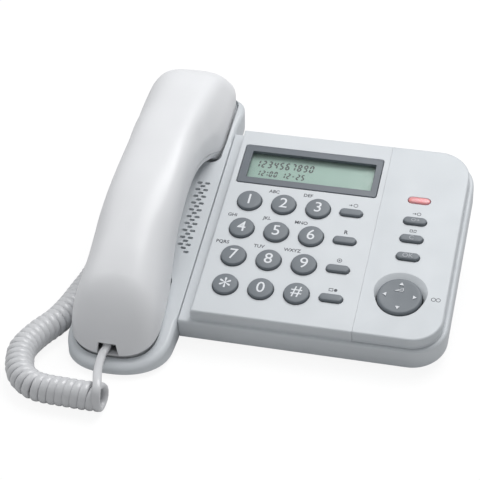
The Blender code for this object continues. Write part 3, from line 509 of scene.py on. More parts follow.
def make_materials():
    m = {}
    m["case"] = plastic("case_plastic", CASE_COLOR, 0.42, wear=0.10)
    m["panel"] = plastic("panel_plastic", (0.600, 0.630, 0.655), 0.42, wear=0.10)
    m["handset"] = plastic("handset_plastic", (0.780, 0.785, 0.800), 0.36, bump=0.06, wear=0.08)
    m["base"] = plastic("base_plastic", CASE_COLOR, 0.55, grain=1500.0, bump=0.22)
    m["key"] = plastic("key_plastic", (0.165, 0.185, 0.205), 0.50, grain=3200.0, bump=0.08,
                       vary=0.03, wear=0.15)
    m["bezel"] = plastic("bezel_plastic", (0.120, 0.138, 0.160), 0.40, bump=0.05, vary=0.03)
    m["inner"] = plastic("inner_plastic", (0.060, 0.062, 0.068), 0.45, grain=1800.0, bump=0.12)
    m["rubber"] = plastic("rubber", (0.16, 0.16, 0.165), 0.82, grain=1400.0, bump=0.30, vary=0.06)
    m["cord"] = plastic("cord_pvc", (0.640, 0.645, 0.660), 0.34, grain=1500.0, bump=0.04, vary=0.025)
    m["cord"].node_tree.nodes["Principled BSDF"].inputs["Coat Weight"].default_value = 0.25
    m["window"] = clear_plastic("window_plastic", (0.86, 0.90, 0.88), 0.06)
    m["plug"] = clear_plastic("plug_plastic", (0.70, 0.73, 0.75), 0.55, 0.12)
    m["lens"] = lens_plastic("lens_plastic", (0.82, 0.35, 0.36))
    m["lcd"] = lcd_material("lcd_cells")
    m["board"] = circuit_board("circuit_board")
    m["steel"] = metal("steel", (0.62, 0.62, 0.64), 0.34)
    m["cloth"] = plastic("acoustic_cloth", (0.030, 0.028, 0.026), 0.9, grain=5000.0, bump=0.5, vary=0.1)
    m["white_ink"] = ink("white_ink", (0.78, 0.80, 0.83))
    m["grey_ink"] = ink("grey_ink", (0.42, 0.44, 0.47))
    m["dark_ink"] = ink("dark_ink", (0.075, 0.080, 0.095))
    m["lcd_ink"] = ink("lcd_ink", (0.018, 0.024, 0.026))
    return m


# ---------------------------------------------------------------- outlines and solids


def arc(cx, cy, radius, start, end, steps):
    turn = [math.radians(start + (end - start) * k / steps) for k in range(steps + 1)]
    return [(cx + radius * math.cos(a), cy + radius * math.sin(a)) for a in turn]


def rounded_outline(x0, y0, x1, y1, radii, steps=16):
    """A rectangle with its own radius at each corner, from the front left one round."""
    corners = ((x0, y0, 1, 1, 180), (x1, y0, -1, 1, 270), (x1, y1, -1, -1, 0), (x0, y1, 1, -1, 90))
    points = []
    for (cx, cy, sx, sy, start), radius in zip(corners, radii):
        points += arc(cx + sx * radius, cy + sy * radius, radius, start, start + 90, steps)
    return points


def oval_outline(length, width, steps=16):
    reach = (length - width) / 2
    return arc(reach, 0.0, width / 2, -90, 90, steps) + arc(-reach, 0.0, width / 2, 90, 270, steps)


def circle_outline(radius, steps=64):
    return arc(0.0, 0.0, radius, 0, 360, steps)[:-1]


def shifted(outline, centre):
    return [(x + centre[0], y + centre[1]) for x, y in outline]


def framed(edges, grow, corner, steps):
    """A rounded rectangle round (x0, y0, x1, y1), grown on every side."""
    x0, y0, x1, y1 = edges
    return rounded_outline(x0 - grow, y0 - grow, x1 + grow, y1 + grow, (corner,) * 4, steps)


def bridge(rings):
    """A bmesh with faces from each ring of points to the next, and the rings' vertices."""
    bm = bmesh.new()
    rows = [[bm.verts.new(point) for point in ring] for ring in rings]
    count = len(rows[0])
    for lower, upper in zip(rows, rows[1:]):
        for k in range(count):
            j = (k + 1) % count
            bm.faces.new((lower[k], lower[j], upper[j], upper[k]))
    return bm, rows


def joined(bm):
    bmesh.ops.remove_doubles(bm, verts=bm.verts, dist=1e-7)
    bmesh.ops.recalc_face_normals(bm, faces=bm.faces)
    return bm


def loft(rings):
    bm, rows = bridge(rings)
    bm.faces.new(rows[0])
    bm.faces.new(rows[-1])
    return joined(bm)


def prism(outline, low, high, centre=(0.0, 0.0)):
    return loft([[(x, y, z) for x, y in shifted(outline, centre)] for z in (low, high)])


def box(x0, y0, z0, x1, y1, z1):
    return prism([(x0, y0), (x1, y0), (x1, y1), (x0, y1)], z0, z1)


def stacked(outline_for, profile):
    """Rings of outline_for(inset) at each (inset, height) of a profile."""
    return loft([[(x, y, height) for x, y in outline_for(inset)] for inset, height in profile])


def rounding(radius, top, steps):
    """(inset, height) pairs round a convex edge, from the wall up to the top face."""
    pairs = []
    for k in range(steps + 1):
        a = math.pi / 2 * k / steps
        pairs.append((radius * (1 - math.cos(a)), top - radius * (1 - math.sin(a))))
    return pairs


def lip(radius, top):
    """The profile of a cutter that leaves a rounded edge at the top of a hole."""
    return [(-inset, height) for inset, height in rounding(radius, top, 3)] + [(-radius, top + 0.002)]


def merge(parts):
    """Several bmeshes as one."""
    whole = bmesh.new()
    for part in parts:
        mesh = bpy.data.meshes.new("part")
        part.to_mesh(mesh)
        part.free()
        whole.from_mesh(mesh)
        bpy.data.meshes.remove(mesh)
    return whole


def turned(profile, steps=64):
    """A solid of revolution about Z from (radius, height) pairs, both ends on the axis."""
    bm = bmesh.new()
    rings = []
    for radius, height in profile:
        if radius < 1e-7:
            rings.append([bm.verts.new((0.0, 0.0, height))])
        else:
            rings.append([bm.verts.new((x, y, height)) for x, y in circle_outline(radius, steps)])
    for lower, upper in zip(rings, rings[1:]):
        for k in range(steps):
            j = (k + 1) % steps
            corners = [lower[k % len(lower)], lower[j % len(lower)]]
            corners += [upper[j % len(upper)], upper[k % len(upper)]]
            bm.faces.new(list(dict.fromkeys(corners)))
    bmesh.ops.recalc_face_normals(bm, faces=bm.faces)
    return bm


def smooth_step(value, low, high):
    t = min(max((value - low) / (high - low), 0.0), 1.0)
    return t * t * (3.0 - 2.0 * t)


def along(value, points):
    """A Catmull-Rom curve through (position, height) pairs, read at value."""
    if value <= points[0][0]:
        return points[0][1]
    if value >= points[-1][0]:
        return points[-1][1]
    for k in range(len(points) - 1):
        (xa, ya), (xb, yb) = points[k], points[k + 1]
        if value <= xb:
            break
    xp, yp = points[max(k - 1, 0)]
    xn, yn = points[min(k + 2, len(points) - 1)]
    slope_a = (yb - yp) / (xb - xp) * (xb - xa)
    slope_b = (yn - ya) / (xn - xa) * (xb - xa)
    t = (value - xa) / (xb - xa)
    return ((2 * t ** 3 - 3 * t ** 2 + 1) * ya + (t ** 3 - 2 * t ** 2 + t) * slope_a
            + (3 * t ** 2 - 2 * t ** 3) * yb + (t ** 3 - t ** 2) * slope_b)


def panel_height(y, n):
    return PANEL_Z + y * math.tan(PANEL_TILT) + n / math.cos(PANEL_TILT)


# ---------------------------------------------------------------- making a piece


def new_object(name, bm, matrix):
    mesh = bpy.data.meshes.new(name)
    bm.transform(matrix)
    bm.to_mesh(mesh)
    bm.free()
    piece = bpy.data.objects.new(name, mesh)
    bpy.context.scene.collection.objects.link(piece)
    return piece


def apply_modifiers(piece):
    graph = bpy.context.evaluated_depsgraph_get()
    mesh = bpy.data.meshes.new_from_object(piece.evaluated_get(graph))
    piece.modifiers.clear()
    piece.data = mesh


def carve(piece, steps):
    """Applies (operation, bmesh, matrix) steps to a piece's mesh, one after another."""
    tools = []
    for operation, bm, matrix in steps:
        tool = new_object("tool", bm, matrix)
        modifier = piece.modifiers.new("carve", "BOOLEAN")
        modifier.operation = operation
        modifier.object = tool
        modifier.solver = "EXACT"
        tools.append(tool)
    apply_modifiers(piece)
    if not piece.data.polygons:
        raise RuntimeError(piece.name + " is empty after its Booleans")
    for tool in tools:
        bpy.data.objects.remove(tool, do_unlink=True)


def finish_piece(piece, material, body, slot, nodes=(), angle=32.0):
    mesh = piece.data
    mesh.materials.clear()
    mesh.materials.append(MATERIALS[material])
    for polygon in mesh.polygons:
        polygon.material_index = 0
    mesh.shade_smooth()
    mesh.set_sharp_from_angle(angle=math.radians(angle))
    if body:
        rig.ride(piece, body)
    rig.slot(piece, slot)
    if nodes:
        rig.replaces(piece, *nodes)


def even_normals(piece):
    """Lets the broad faces set the shading, so that it stays flat beside a rounded rim."""
    modifier = piece.modifiers.new("normals", "WEIGHTED_NORMAL")
    modifier.keep_sharp = True
    apply_modifiers(piece)


def make_piece(name, bm, matrix, material, body, slot, nodes=(), steps=(), angle=32.0):
    piece = new_object(name, bm, matrix)
    if steps:
        carve(piece, steps)
    finish_piece(piece, material, body, slot, nodes, angle)
    if steps:
        even_normals(piece)


def at(u, v, n=0.0):
    return PANEL @ Matrix.Translation((u, v, n))


# ---------------------------------------------------------------- curly cord
CORD_X = CRADLE_X - 0.0013
WIRE = 0.0043
WIRE_THICK = 0.0030         # the flat wire's thickness, radially in the coil
COIL_RADIUS = 0.00575       # to the middle of the wire
COIL_TURNS = 52
COIL_START = math.radians(198.0)     # where the wire enters the first turn
FIRST_TURN_SKEW = 0.0027             # how far the first turn leans open at the coil's end
POINTS_PER_TURN = 16
RING_POINTS = 12            # round the flat wire's section
RING_POWER = 0.85           # squareness of that section
COIL_AXIS_Z = 0.0074
LEAD_ROUTE = ((0.0, -0.0235, 0.0143), (-0.0003, -0.0260, 0.0126), (-0.0012, -0.0296, 0.0114),
              (-0.0008, -0.0340, 0.0117), (0.0002, -0.0395, 0.0130), (0.0017, -0.0460, 0.0150),
              (0.0033, -0.0520, 0.0163), (0.0048, -0.0572, 0.0163), (0.0056, -0.0614, 0.0146),
              (0.0058, -0.0632, 0.0109), (0.0057, -0.0632, 0.0078))
HANDSET_LEAD = [(CORD_X + x, y, z) for x, y, z in LEAD_ROUTE]
AXIS_ROUTE = ((-0.0300, -0.0572), (-0.0380, -0.0575), (-0.0480, -0.0573), (-0.0560, -0.0570),
              (-0.0625, -0.0560), (-0.0683, -0.0528), (-0.0732, -0.0476), (-0.0766, -0.0397),
              (-0.0782, -0.0300), (-0.0749, -0.0176), (-0.0692, -0.0050), (-0.0659, 0.0080),
              (-0.0638, 0.0220), (-0.0620, 0.0380), (-0.0618, 0.0700), (-0.0624, 0.1020))
COIL_ROUTE = [(x, y, COIL_AXIS_Z) for x, y in AXIS_ROUTE]
BASE_LEAD = ((-0.0621, 0.1085, 0.0082), (-0.0600, 0.1140, 0.0095), (-0.0562, 0.1173, 0.0107),
             (-0.0515, 0.1180, 0.0110))
FIXED_END = (-0.0726, -0.0360, 0.0)     # the cord lies still from here back
LIFTED_END = (-0.0450, -0.0457, 0.0)    # and goes with the handset from here on


def smooth_route(points, count):
    last = len(points) - 1
    marks = [last * k / (count - 1) for k in range(count)]
    tracks = [[(k, point[axis]) for k, point in enumerate(points)] for axis in range(3)]
    return [Vector([along(mark, track) for track in tracks]) for mark in marks]


def even_route(points, spacing):
    """Points a fixed distance apart on the smooth curve through the given ones."""
    fine = smooth_route(points, 2000)
    lengths = [0.0]
    for start, end in zip(fine, fine[1:]):
        lengths.append(lengths[-1] + (end - start).length)
    count = max(2, round(lengths[-1] / spacing))
    route = []
    k = 0
    for step in range(count + 1):
        mark = lengths[-1] * step / count
        while k < len(lengths) - 2 and lengths[k + 1] < mark:
            k += 1
        share = (mark - lengths[k]) / (lengths[k + 1] - lengths[k])
        route.append(fine[k].lerp(fine[k + 1], share))
    return route


def coil_line():
    """The wire's centre line through the coil, with the outward direction at each point."""
    axis = even_route(COIL_ROUTE, 0.0004)
    total = len(axis) - 1
    count = COIL_TURNS * POINTS_PER_TURN
    line, outward = [], []
    for k in range(count + 1):
        mark = min(total * k / count, total - 1e-6)
        j = int(mark)
        centre = axis[j].lerp(axis[j + 1], mark - j)
        ahead = (axis[min(j + 4, total)] - axis[max(j - 4, 0)]).normalized()
        side = ahead.cross(Vector((0.0, 0.0, 1.0))).normalized()
        up = side.cross(ahead)
        turn = COIL_START + 2 * math.pi * k / POINTS_PER_TURN
        wobble = 0.00018 * math.sin(0.37 * k) * math.sin(0.011 * k + 1.0)
        out = side * math.cos(turn) + up * math.sin(turn)
        away = min(abs(turn - 2 * math.pi - 0.15) / (math.pi - 0.15), 1.0)
        lean = FIRST_TURN_SKEW * (0.5 + 0.5 * math.cos(math.pi * away))
        line.append(centre + out * (COIL_RADIUS + wobble * 0.4) + ahead * (wobble - lean))
        outward.append(out)
    return line, outward


def cord_line():
    """The whole cord's centre line, from the handset's jack to the base's, and which way the
    flat wire faces at each point."""
    coil, outward = coil_line()
    lead = even_route(HANDSET_LEAD, 0.0012)
    ease = bezier(lead[-1], lead[-1] - lead[-2], coil[0], coil[1] - coil[0], 0.0014, 6)
    tail = even_route(BASE_LEAD, 0.0016)
    ease_out = bezier(coil[-1], coil[-1] - coil[-2], tail[0], tail[1] - tail[0], 0.0060, 12)
    up = Vector((0.0, 0.0, 1.0))
    centre = Vector(COIL_ROUTE[0])
    faces = []
    for k, point in enumerate(lead + ease[1:-1]):
        away = point - centre
        away.x = 0.0
        faces.append(up.lerp(away.normalized(), smooth_step(-point.y, 0.044, 0.054)).normalized())
    faces += outward
    count = len(ease_out) - 1
    faces += [outward[-1].lerp(up, smooth_step(k, 0, count)).normalized() for k in range(1, count)]
    faces += [up] * len(tail)
    return lead + ease[1:-1] + coil + ease_out[1:-1] + tail, faces


def bezier(start, start_way, end, end_way, reach, count):
    near = start + start_way.normalized() * reach
    far = end - end_way.normalized() * reach
    points = []
    for k in range(count + 1):
        t = k / count
        points.append(start * (1 - t) ** 3 + near * 3 * t * (1 - t) ** 2
                      + far * 3 * t * t * (1 - t) + end * t ** 3)
    return points


def rounded_share(value):
    return math.copysign(abs(value) ** RING_POWER, value)


def make_cord():
    points, directions = cord_line()
    rings = []
    last = len(points) - 1
    for k, (point, out) in enumerate(zip(points, directions)):
        ahead = (points[min(k + 1, last)] - points[max(k - 1, 0)]).normalized()
        out = (out - ahead * out.dot(ahead)).normalized()
        side = ahead.cross(out)
        ring = []
        for step in range(RING_POINTS):
            a = 2 * math.pi * step / RING_POINTS
            across = rounded_share(math.cos(a)) * WIRE / 2
            thick = rounded_share(math.sin(a)) * WIRE_THICK / 2
            ring.append(point + side * across + out * thick)
        rings.append(ring)
    cord = new_object("curly_cord", loft(rings), DESK)
    finish_piece(cord, "cord", None, "cord", ("handset_lead", "cord_coil", "base_lead"))
    world = [DESK @ point for point in points]
    length = sum((b - a).length for a, b in zip(world, world[1:]))
    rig.blend(cord, "base", "handset", DESK @ Vector(FIXED_END), DESK @ Vector(LIFTED_END))
    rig.cord(cord, exit=world[-1], length=round(length, 2), diameter=WIRE, far_end="object",
            stiffness="limp", lay="coiled", path=world[::-1], with_pieces=["base_plug", "handset_plug"])


# ---------------------------------------------------------------- keypad case and control panel


PLATE_ROUNDING = rounding(0.0011, 0.0, 5)
SHARP = 0.0003              # corner radius where a moulding meets a seam
ABOVE = 0.00001             # how far a cutter stands over the face that it cuts
ABOVE_EVERYTHING = 0.12
HOLE_BOTTOM = -0.004
KEY_HOLE_EDGE = 0.0003
FINE_HOLE_EDGE = 0.0002


def plate_part(left, right, profile, is_right):
    """The keypad's or the panel's share of the plate. Its side at the seam isn't inset."""
    def outline(inset):
        if is_right:
            radii = (SHARP, PLATE_CORNER - inset, BACK_CORNER - inset, SHARP)
            return rounded_outline(left, inset, right - inset, PLATE_DEPTH - inset, radii, 20)
        return rounded_outline(left + inset, inset, right, PLATE_DEPTH - inset, (SHARP,) * 4, 20)
    return stacked(outline, profile)


def hole_cutter(outline_for, edge):
    """Cuts a straight hole whose rim is rounded over by edge."""
    return stacked(outline_for, [(0.0, HOLE_BOTTOM)] + lip(edge, ABOVE))


def make_case():
    left = CRADLE_RIGHT + SEAM

    def rim_outline(inset):
        out = RIM - inset
        radii = (0.0004, PLATE_CORNER + out, BACK_CORNER + out, 0.0004)
        return rounded_outline(left + inset * 0.3, -out, PLATE_WIDTH + out, PLATE_DEPTH + out, radii, 20)

    profile = [(0.0004, SLAB_N), (0.0, SLAB_N + 0.0005)] + rounding(0.0014, LEDGE_N, 5)
    rim = stacked(rim_outline, profile)
    foot = [(0.0, -0.0080), (-0.0007, LEDGE_N), (-0.0003, LEDGE_N + 0.0002), (0.0, LEDGE_N + 0.0007)]
    plate = plate_part(0.0, SEAM_U - SEAM / 2, foot + PLATE_ROUNDING, False)
    steps = [("UNION", plate, PANEL)]
    inner = rounded_outline(left + WALL, -RIM + WALL, PLATE_WIDTH + RIM - WALL, PLATE_DEPTH + RIM - WALL,
                            (0.001, PLATE_CORNER, BACK_CORNER, 0.001), 10)
    steps.append(("DIFFERENCE", prism(inner, SLAB_N - 0.001, LEDGE_N - WALL), PANEL))
    core = rounded_outline(WALL, WALL, PLATE_WIDTH - WALL, PLATE_DEPTH - WALL,
                           (0.001, PLATE_CORNER - WALL, BACK_CORNER - WALL, 0.001), 10)
    steps.append(("DIFFERENCE", prism(core, SLAB_N - 0.002, -0.0025), PANEL))
    notch = box(left - 0.001, 0.0, SLAB_N - 0.001, left + WALL + 0.0005, PLATE_DEPTH, NOTCH_TOP)
    steps.append(("DIFFERENCE", notch, PANEL))
    holes = []
    for v in KEY_ROWS:
        for u in KEY_COLUMNS:
            holes.append(hole_cutter(round_hole(KEY_RADIUS + KEY_CLEARANCE, (u, v)), KEY_HOLE_EDGE))
        holes.append(hole_cutter(oval_hole(OVAL, KEY_CLEARANCE, (FUNCTION_U, v)), KEY_HOLE_EDGE))
    holes.append(hole_cutter(lambda inset: framed(BEZEL, GAP - inset, BEZEL_CORNER + GAP - inset, 6),
                             FINE_HOLE_EDGE))
    steps.append(("DIFFERENCE", merge(holes), PANEL))
    for operation, radius, count, low, high in (("UNION", 0.0040, 24, SLAB_N + 0.0026, LEDGE_N - 0.0005),
                                                ("DIFFERENCE", 0.0016, 16, SLAB_N, LEDGE_N - 0.0020)):
        posts = [prism(circle_outline(radius, count), low, high, spot) for spot in SCREW_SPOTS]
        steps.append((operation, merge(posts), PANEL))
    make_piece("keypad_case_shell", rim, PANEL, "case", "base", "case_plastic",
               ("keypad_case",), steps)


def round_hole(radius, centre):
    return lambda inset: shifted(circle_outline(radius - inset), centre)


def oval_hole(size, grow, centre):
    length, width = (extent + 2 * grow for extent in size)
    return lambda inset: shifted(oval_outline(length - 2 * inset, width - 2 * inset), centre)


def make_control_panel():
    seam = SEAM_U + SEAM / 2
    profile = [(-0.0005, LEDGE_N + GAP), (-0.0003, LEDGE_N + GAP + 0.0002), (0.0, LEDGE_N + 0.0008)]
    panel = plate_part(seam, PLATE_WIDTH, profile + PLATE_ROUNDING, True)
    core = rounded_outline(seam - 0.001, WALL, PLATE_WIDTH - WALL, PLATE_DEPTH - WALL,
                           (0.0004, PLATE_CORNER - WALL, BACK_CORNER - WALL, 0.0004), 12)
    steps = [("DIFFERENCE", prism(core, LEDGE_N - 0.001, -0.0025), PANEL)]
    widening, depth = COUNTERSINK
    u, v = NAVIGATOR
    hole = NAVIGATOR_RADIUS + NAVIGATOR_CLEARANCE
    rings = []
    for share, n in ((0.0, HOLE_BOTTOM), (0.0, depth), (0.55, depth * 0.40), (0.90, depth * 0.08),
                     (1.0, ABOVE), (1.0, 0.001)):
        ring = []
        for x, y in circle_outline(1.0, 96):
            reach = hole + 0.0001 * share + widening * share * smooth_step(y, -0.45, 1.0)
            ring.append((u + x * reach, v + y * reach, n))
        rings.append(ring)
    holes = [loft(rings)]
    for v in CONTROL_KEYS.values():
        holes.append(hole_cutter(oval_hole(OVAL, KEY_CLEARANCE, (CONTROL_U, v)), KEY_HOLE_EDGE))
    holes.append(hole_cutter(oval_hole(LENS, GAP, (CONTROL_U, LENS_V)), FINE_HOLE_EDGE))
    steps.append(("DIFFERENCE", merge(holes), PANEL))
    make_piece("control_panel_shell", panel, PANEL, "panel", "base", "case_plastic",
               ("control_panel",), steps)


# ---------------------------------------------------------------- keys, navigator and lens


def make_keys():
    rows = [(0.0, FLANGE_BOTTOM), (KEY_RADIUS + FLANGE, FLANGE_BOTTOM),
            (KEY_RADIUS + FLANGE, FLANGE_TOP), (KEY_RADIUS, FLANGE_TOP)]
    rows += [(KEY_RADIUS - inset, n) for inset, n in rounding(0.0007, KEY_HEIGHT - 0.0002, 6)]
    rows += [(0.0045, KEY_HEIGHT - 0.00007), (0.0022, KEY_HEIGHT), (0.0, KEY_HEIGHT)]
    for v, names in zip(KEY_ROWS, KEY_NAMES):
        for u, name in zip(KEY_COLUMNS, names):
            node = "key_" + name
            make_piece(node + "_cap", turned(rows), at(u, v), "key", node, "key_plastic", (node,))
            size, bold = STAR_PRINT if name == "star" else DIGIT_PRINT
            legend(node + "_legend", {"star": "*", "hash": "#"}.get(name, name), size,
                   at(u, v + 0.0002, KEY_HEIGHT), node, bold)
    spots = [(name, FUNCTION_U, v) for name, v in zip(FUNCTION_NAMES, KEY_ROWS)]
    spots += [(name, CONTROL_U, v) for name, v in CONTROL_KEYS.items()]
    profile = [(-FLANGE, FLANGE_BOTTOM), (-FLANGE, FLANGE_TOP), (0.0, FLANGE_TOP)]
    profile += rounding(0.0007, 0.0015, 5) + [(0.0014, 0.00160)]
    for name, u, v in spots:
        cap = stacked(oval_hole(OVAL, 0.0, (0.0, 0.0)), profile)
        make_piece(name + "_cap", cap, at(u, v), "key", name, "key_plastic", (name,))


def text_mesh(text, size, bold):
    """Printed characters as a bmesh, centred on the origin and lying on n = 0."""
    curve = bpy.data.curves.new("characters", "FONT")
    curve.body = text
    curve.size = size
    curve.align_x = "CENTER"
    curve.align_y = "CENTER"
    curve.offset = bold
    curve.extrude = PRINT
    curve.resolution_u = 4
    holder = bpy.data.objects.new("characters", curve)
    bpy.context.scene.collection.objects.link(holder)
    graph = bpy.context.evaluated_depsgraph_get()
    mesh = bpy.data.meshes.new_from_object(holder.evaluated_get(graph))
    bm = bmesh.new()
    bm.from_mesh(mesh)
    bmesh.ops.remove_doubles(bm, verts=bm.verts, dist=1e-7)
    xs = [vert.co.x for vert in bm.verts]
    ys = [vert.co.y for vert in bm.verts]
    middle = Vector(((min(xs) + max(xs)) / 2, (min(ys) + max(ys)) / 2, 0.0))
    bmesh.ops.translate(bm, verts=bm.verts, vec=-middle)
    bpy.data.objects.remove(holder, do_unlink=True)
    bpy.data.meshes.remove(mesh)
    return bm


def legend(name, text, size, matrix, body, bold=0.0, material="white_ink"):
    make_piece(name, text_mesh(text, size, bold), matrix, material, body, "key_plastic")


def make_navigator():
    radius, top = NAVIGATOR_RADIUS, NAVIGATOR_HEIGHT
    rows = [(0.0, 0.0005), (0.0075, 0.0005), (0.0075, -0.0016), (radius - 0.0006, -0.0016), (radius, -0.0009)]
    rows += [(radius - inset, n) for inset, n in rounding(0.0013, top, 7)]
    rows += [(radius - 0.0022, top - 0.00004), (0.0060, top - 0.0004), (0.0030, top - 0.0005),
             (0.0, top - 0.0005)]
    u, v = NAVIGATOR
    make_piece("navigator_cap", turned(rows, 96), at(u, v), "key", "navigator_key",
               "key_plastic", ("navigator_key",))
    marks = []
    for quarter in range(4):
        tip = prism([(-0.0011, 0.0067), (0.0011, 0.0067), (0.0, 0.0085)], -0.0004, 0.0001)
        tip.transform(Matrix.Rotation(math.pi / 2 * quarter, 4, "Z"))
        marks.append(tip)
    for outline in (((-0.0032, 0.0030), (0.0014, 0.0030), (0.0014, 0.0033), (-0.0020, 0.0033)),
                    ((-0.0032, 0.0030), (-0.0026, 0.0030), (0.0014, 0.0048), (0.0014, 0.0051)),
                    ((0.0011, 0.0030), (0.0014, 0.0030), (0.0014, 0.0051), (0.0011, 0.0050))):
        marks.append(prism(outline, -0.0008, -0.0002))
    make_piece("navigator_marks", merge(marks), at(u, v, top), "white_ink", "navigator_key",
               "key_plastic")


def make_lens():
    profile = [(0.0, -0.0035)] + rounding(0.0009, 0.0006, 5) + [(0.0014, 0.00072)]
    lens = stacked(oval_hole(LENS, 0.0, (0.0, 0.0)), profile)
    make_piece("indicator_dome", lens, at(CONTROL_U, LENS_V), "lens", "base",
               "indicator_lens", ("indicator_lens",))


# ---------------------------------------------------------------- display
SEGMENTS = {"0": "abcdef", "1": "bc", "2": "abged", "3": "abgcd", "4": "fgbc", "5": "afgcd",
            "6": "afgedc", "7": "abc", "8": "abcdefg", "9": "abcfgd", "-": "g"}


def segment_bars(character, width, height, thick):
    """A seven-segment character as flat outlines, from its lower left corner."""
    half = height / 2
    cut = thick * 0.55
    tip = thick * 0.28
    level = {"a": height - thick, "g": half - thick / 2, "d": 0.0}
    side = {"f": 0.0, "e": 0.0, "b": width - thick, "c": width - thick}
    outlines = []
    for name in SEGMENTS[character]:
        if name in level:
            x0, y0, x1, y1 = cut, level[name], width - cut, level[name] + thick
            middle = (y0 + y1) / 2
            outlines.append([(x0, middle), (x0 + tip, y0), (x1 - tip, y0), (x1, middle),
                             (x1 - tip, y1), (x0 + tip, y1)])
        else:
            y0, y1 = (half + cut / 2, height - cut) if name in "fb" else (cut, half - cut / 2)
            x0, x1 = side[name], side[name] + thick
            middle = (x0 + x1) / 2
            outlines.append([(middle, y0), (x1, y0 + tip), (x1, y1 - tip), (middle, y1),
                             (x0, y1 - tip), (x0, y0 + tip)])
    return outlines


LCD_TOP = -0.0033
LCD_LEAN = 0.10             # slant of the characters
LCD_PRINT = 0.00006         # their thickness


def lcd_row(text, x, y, width, height, thick, pitch):
    parts = []
    for character in text:
        if character == ":":
            for level in (0.28, 0.72):
                spot = (x + pitch * 0.30, y + height * level)
                parts.append(prism(circle_outline(thick * 0.6, 10), 0.0, LCD_PRINT, spot))
            x += pitch * 0.6
        elif character == " ":
            x += pitch * 0.7
        else:
            for outline in segment_bars(character, width, height, thick):
                leant = [(px + py * LCD_LEAN, py) for px, py in outline]
                parts.append(prism(leant, 0.0, LCD_PRINT, (x, y)))
            x += pitch
    return parts


def make_display():
    a0, b0, a1, b1 = WINDOW
    edge = 0.0003
    bezel = stacked(lambda inset: framed(BEZEL, -inset, BEZEL_CORNER, 6),
                    [(0.0, -0.0030)] + rounding(edge, edge, 3))
    hole = stacked(lambda inset: framed(WINDOW, -inset, 0.0004, 3),
                   [(0.0, HOLE_BOTTOM)] + lip(edge, edge + ABOVE))
    step = 0.0012
    rebate = box(a0 - step, b0 - step, HOLE_BOTTOM, a1 + step, b1 + step, -0.0015)
    steps = [("DIFFERENCE", hole, PANEL), ("DIFFERENCE", rebate, PANEL)]
    make_piece("bezel_frame", bezel, PANEL, "bezel", "base", "bezel_plastic",
               ("display_bezel",), steps)
    digits = lcd_row("1234567890", a0 + 0.0022, b0 + 0.0105, 0.0024, 0.0052, 0.00088, 0.00325)
    digits += lcd_row("12:00 12-25", a0 + 0.0040, b0 + 0.0044, 0.0019, 0.0042, 0.00074, 0.00260)
    make_piece("lcd_characters", merge(digits), at(0.0, 0.0, LCD_TOP), "lcd_ink", "base", "lcd")


# ---------------------------------------------------------------- long rounded forms


SIDE_COUNT = 60
END_COUNT = 16


def stations(low, high, reach):
    """Places along a long form, closer together round its ends."""
    ends = [reach * (1.0 - math.cos(math.pi / 2 * k / END_COUNT)) for k in range(1, END_COUNT + 1)]
    places = [low + end for end in ends]
    for k in range(1, SIDE_COUNT):
        places.append(low + reach + (high - low - 2 * reach) * k / SIDE_COUNT)
    return places + [high - end for end in reversed(ends)]


def end_taper(form, y):
    """The share of the full width at y, from the rounded ends of a long form."""
    taper = 1.0
    for into_end, power in zip((form["front"] - y, y - form["back"]), form["powers"]):
        share = min(max((into_end + form["reach"]) / form["reach"], 0.0), 1.0)
        taper *= (1.0 - share ** power) ** (1 / power)
    return taper


def side_share(form, y):
    """How much of an inset applies on the right: little where the cradle meets the case."""
    low, high = form.get("joined", (1.0, 1.0))
    return 1.0 - 0.85 * smooth_step(y, low - 0.006, low) * (1.0 - smooth_step(y, high, high + 0.006))


def pulled(form, point, fraction, lean):
    """A point of an outline, moved a share of its way to the form's spine and a lean beyond that."""
    first, last = form["spine"]
    spine = Vector((CRADLE_X, min(max(point.y, first), last)))
    reach = (spine - point).length
    drawn_in = lean / reach if reach > 0.001 else 0.0
    return point.lerp(spine, min(fraction + drawn_in * (1.0 - fraction), 1.0))


def long_outline(form, inset=0.0):
    low = form["front"] + inset
    high = form["back"] - inset
    scale = (form["back"] - form["front"]) / (high - low)
    rows = []
    for y in stations(low, high, form["reach"]):
        taper = end_taper(form, form["front"] + (y - low) * scale)
        left = (along(y, form["left"]) - inset) * taper
        right = (along(y, form["right"]) - inset * side_share(form, y)) * taper
        rows.append((y, left, right))
    points = [Vector((CRADLE_X, low))]
    points += [Vector((CRADLE_X + right, y)) for y, left, right in rows]
    points.append(Vector((CRADLE_X, high)))
    points += [Vector((CRADLE_X - left, y)) for y, left, right in reversed(rows)]
    return points


def long_ring(form, height, fraction=0.0, inset=0.0, lean=lambda y: 0.0):
    ring = []
    for point in long_outline(form, inset):
        moved = pulled(form, point, fraction, lean(point.y))
        ring.append((moved.x, moved.y, height(moved.y)))
    return ring


def loft_to_spine(rings, both_ends=False):
    """A loft whose last ring, and perhaps its first, closes along the spine."""
    bm, rows = bridge(rings)
    if both_ends:
        bmesh.ops.remove_doubles(bm, verts=rows[0], dist=0.00003)
    else:
        bm.faces.new(rows[0])
    bmesh.ops.remove_doubles(bm, verts=rows[-1], dist=0.00003)
    bmesh.ops.dissolve_degenerate(bm, edges=bm.edges, dist=1e-6)
    bmesh.ops.recalc_face_normals(bm, faces=bm.faces)
    return bm


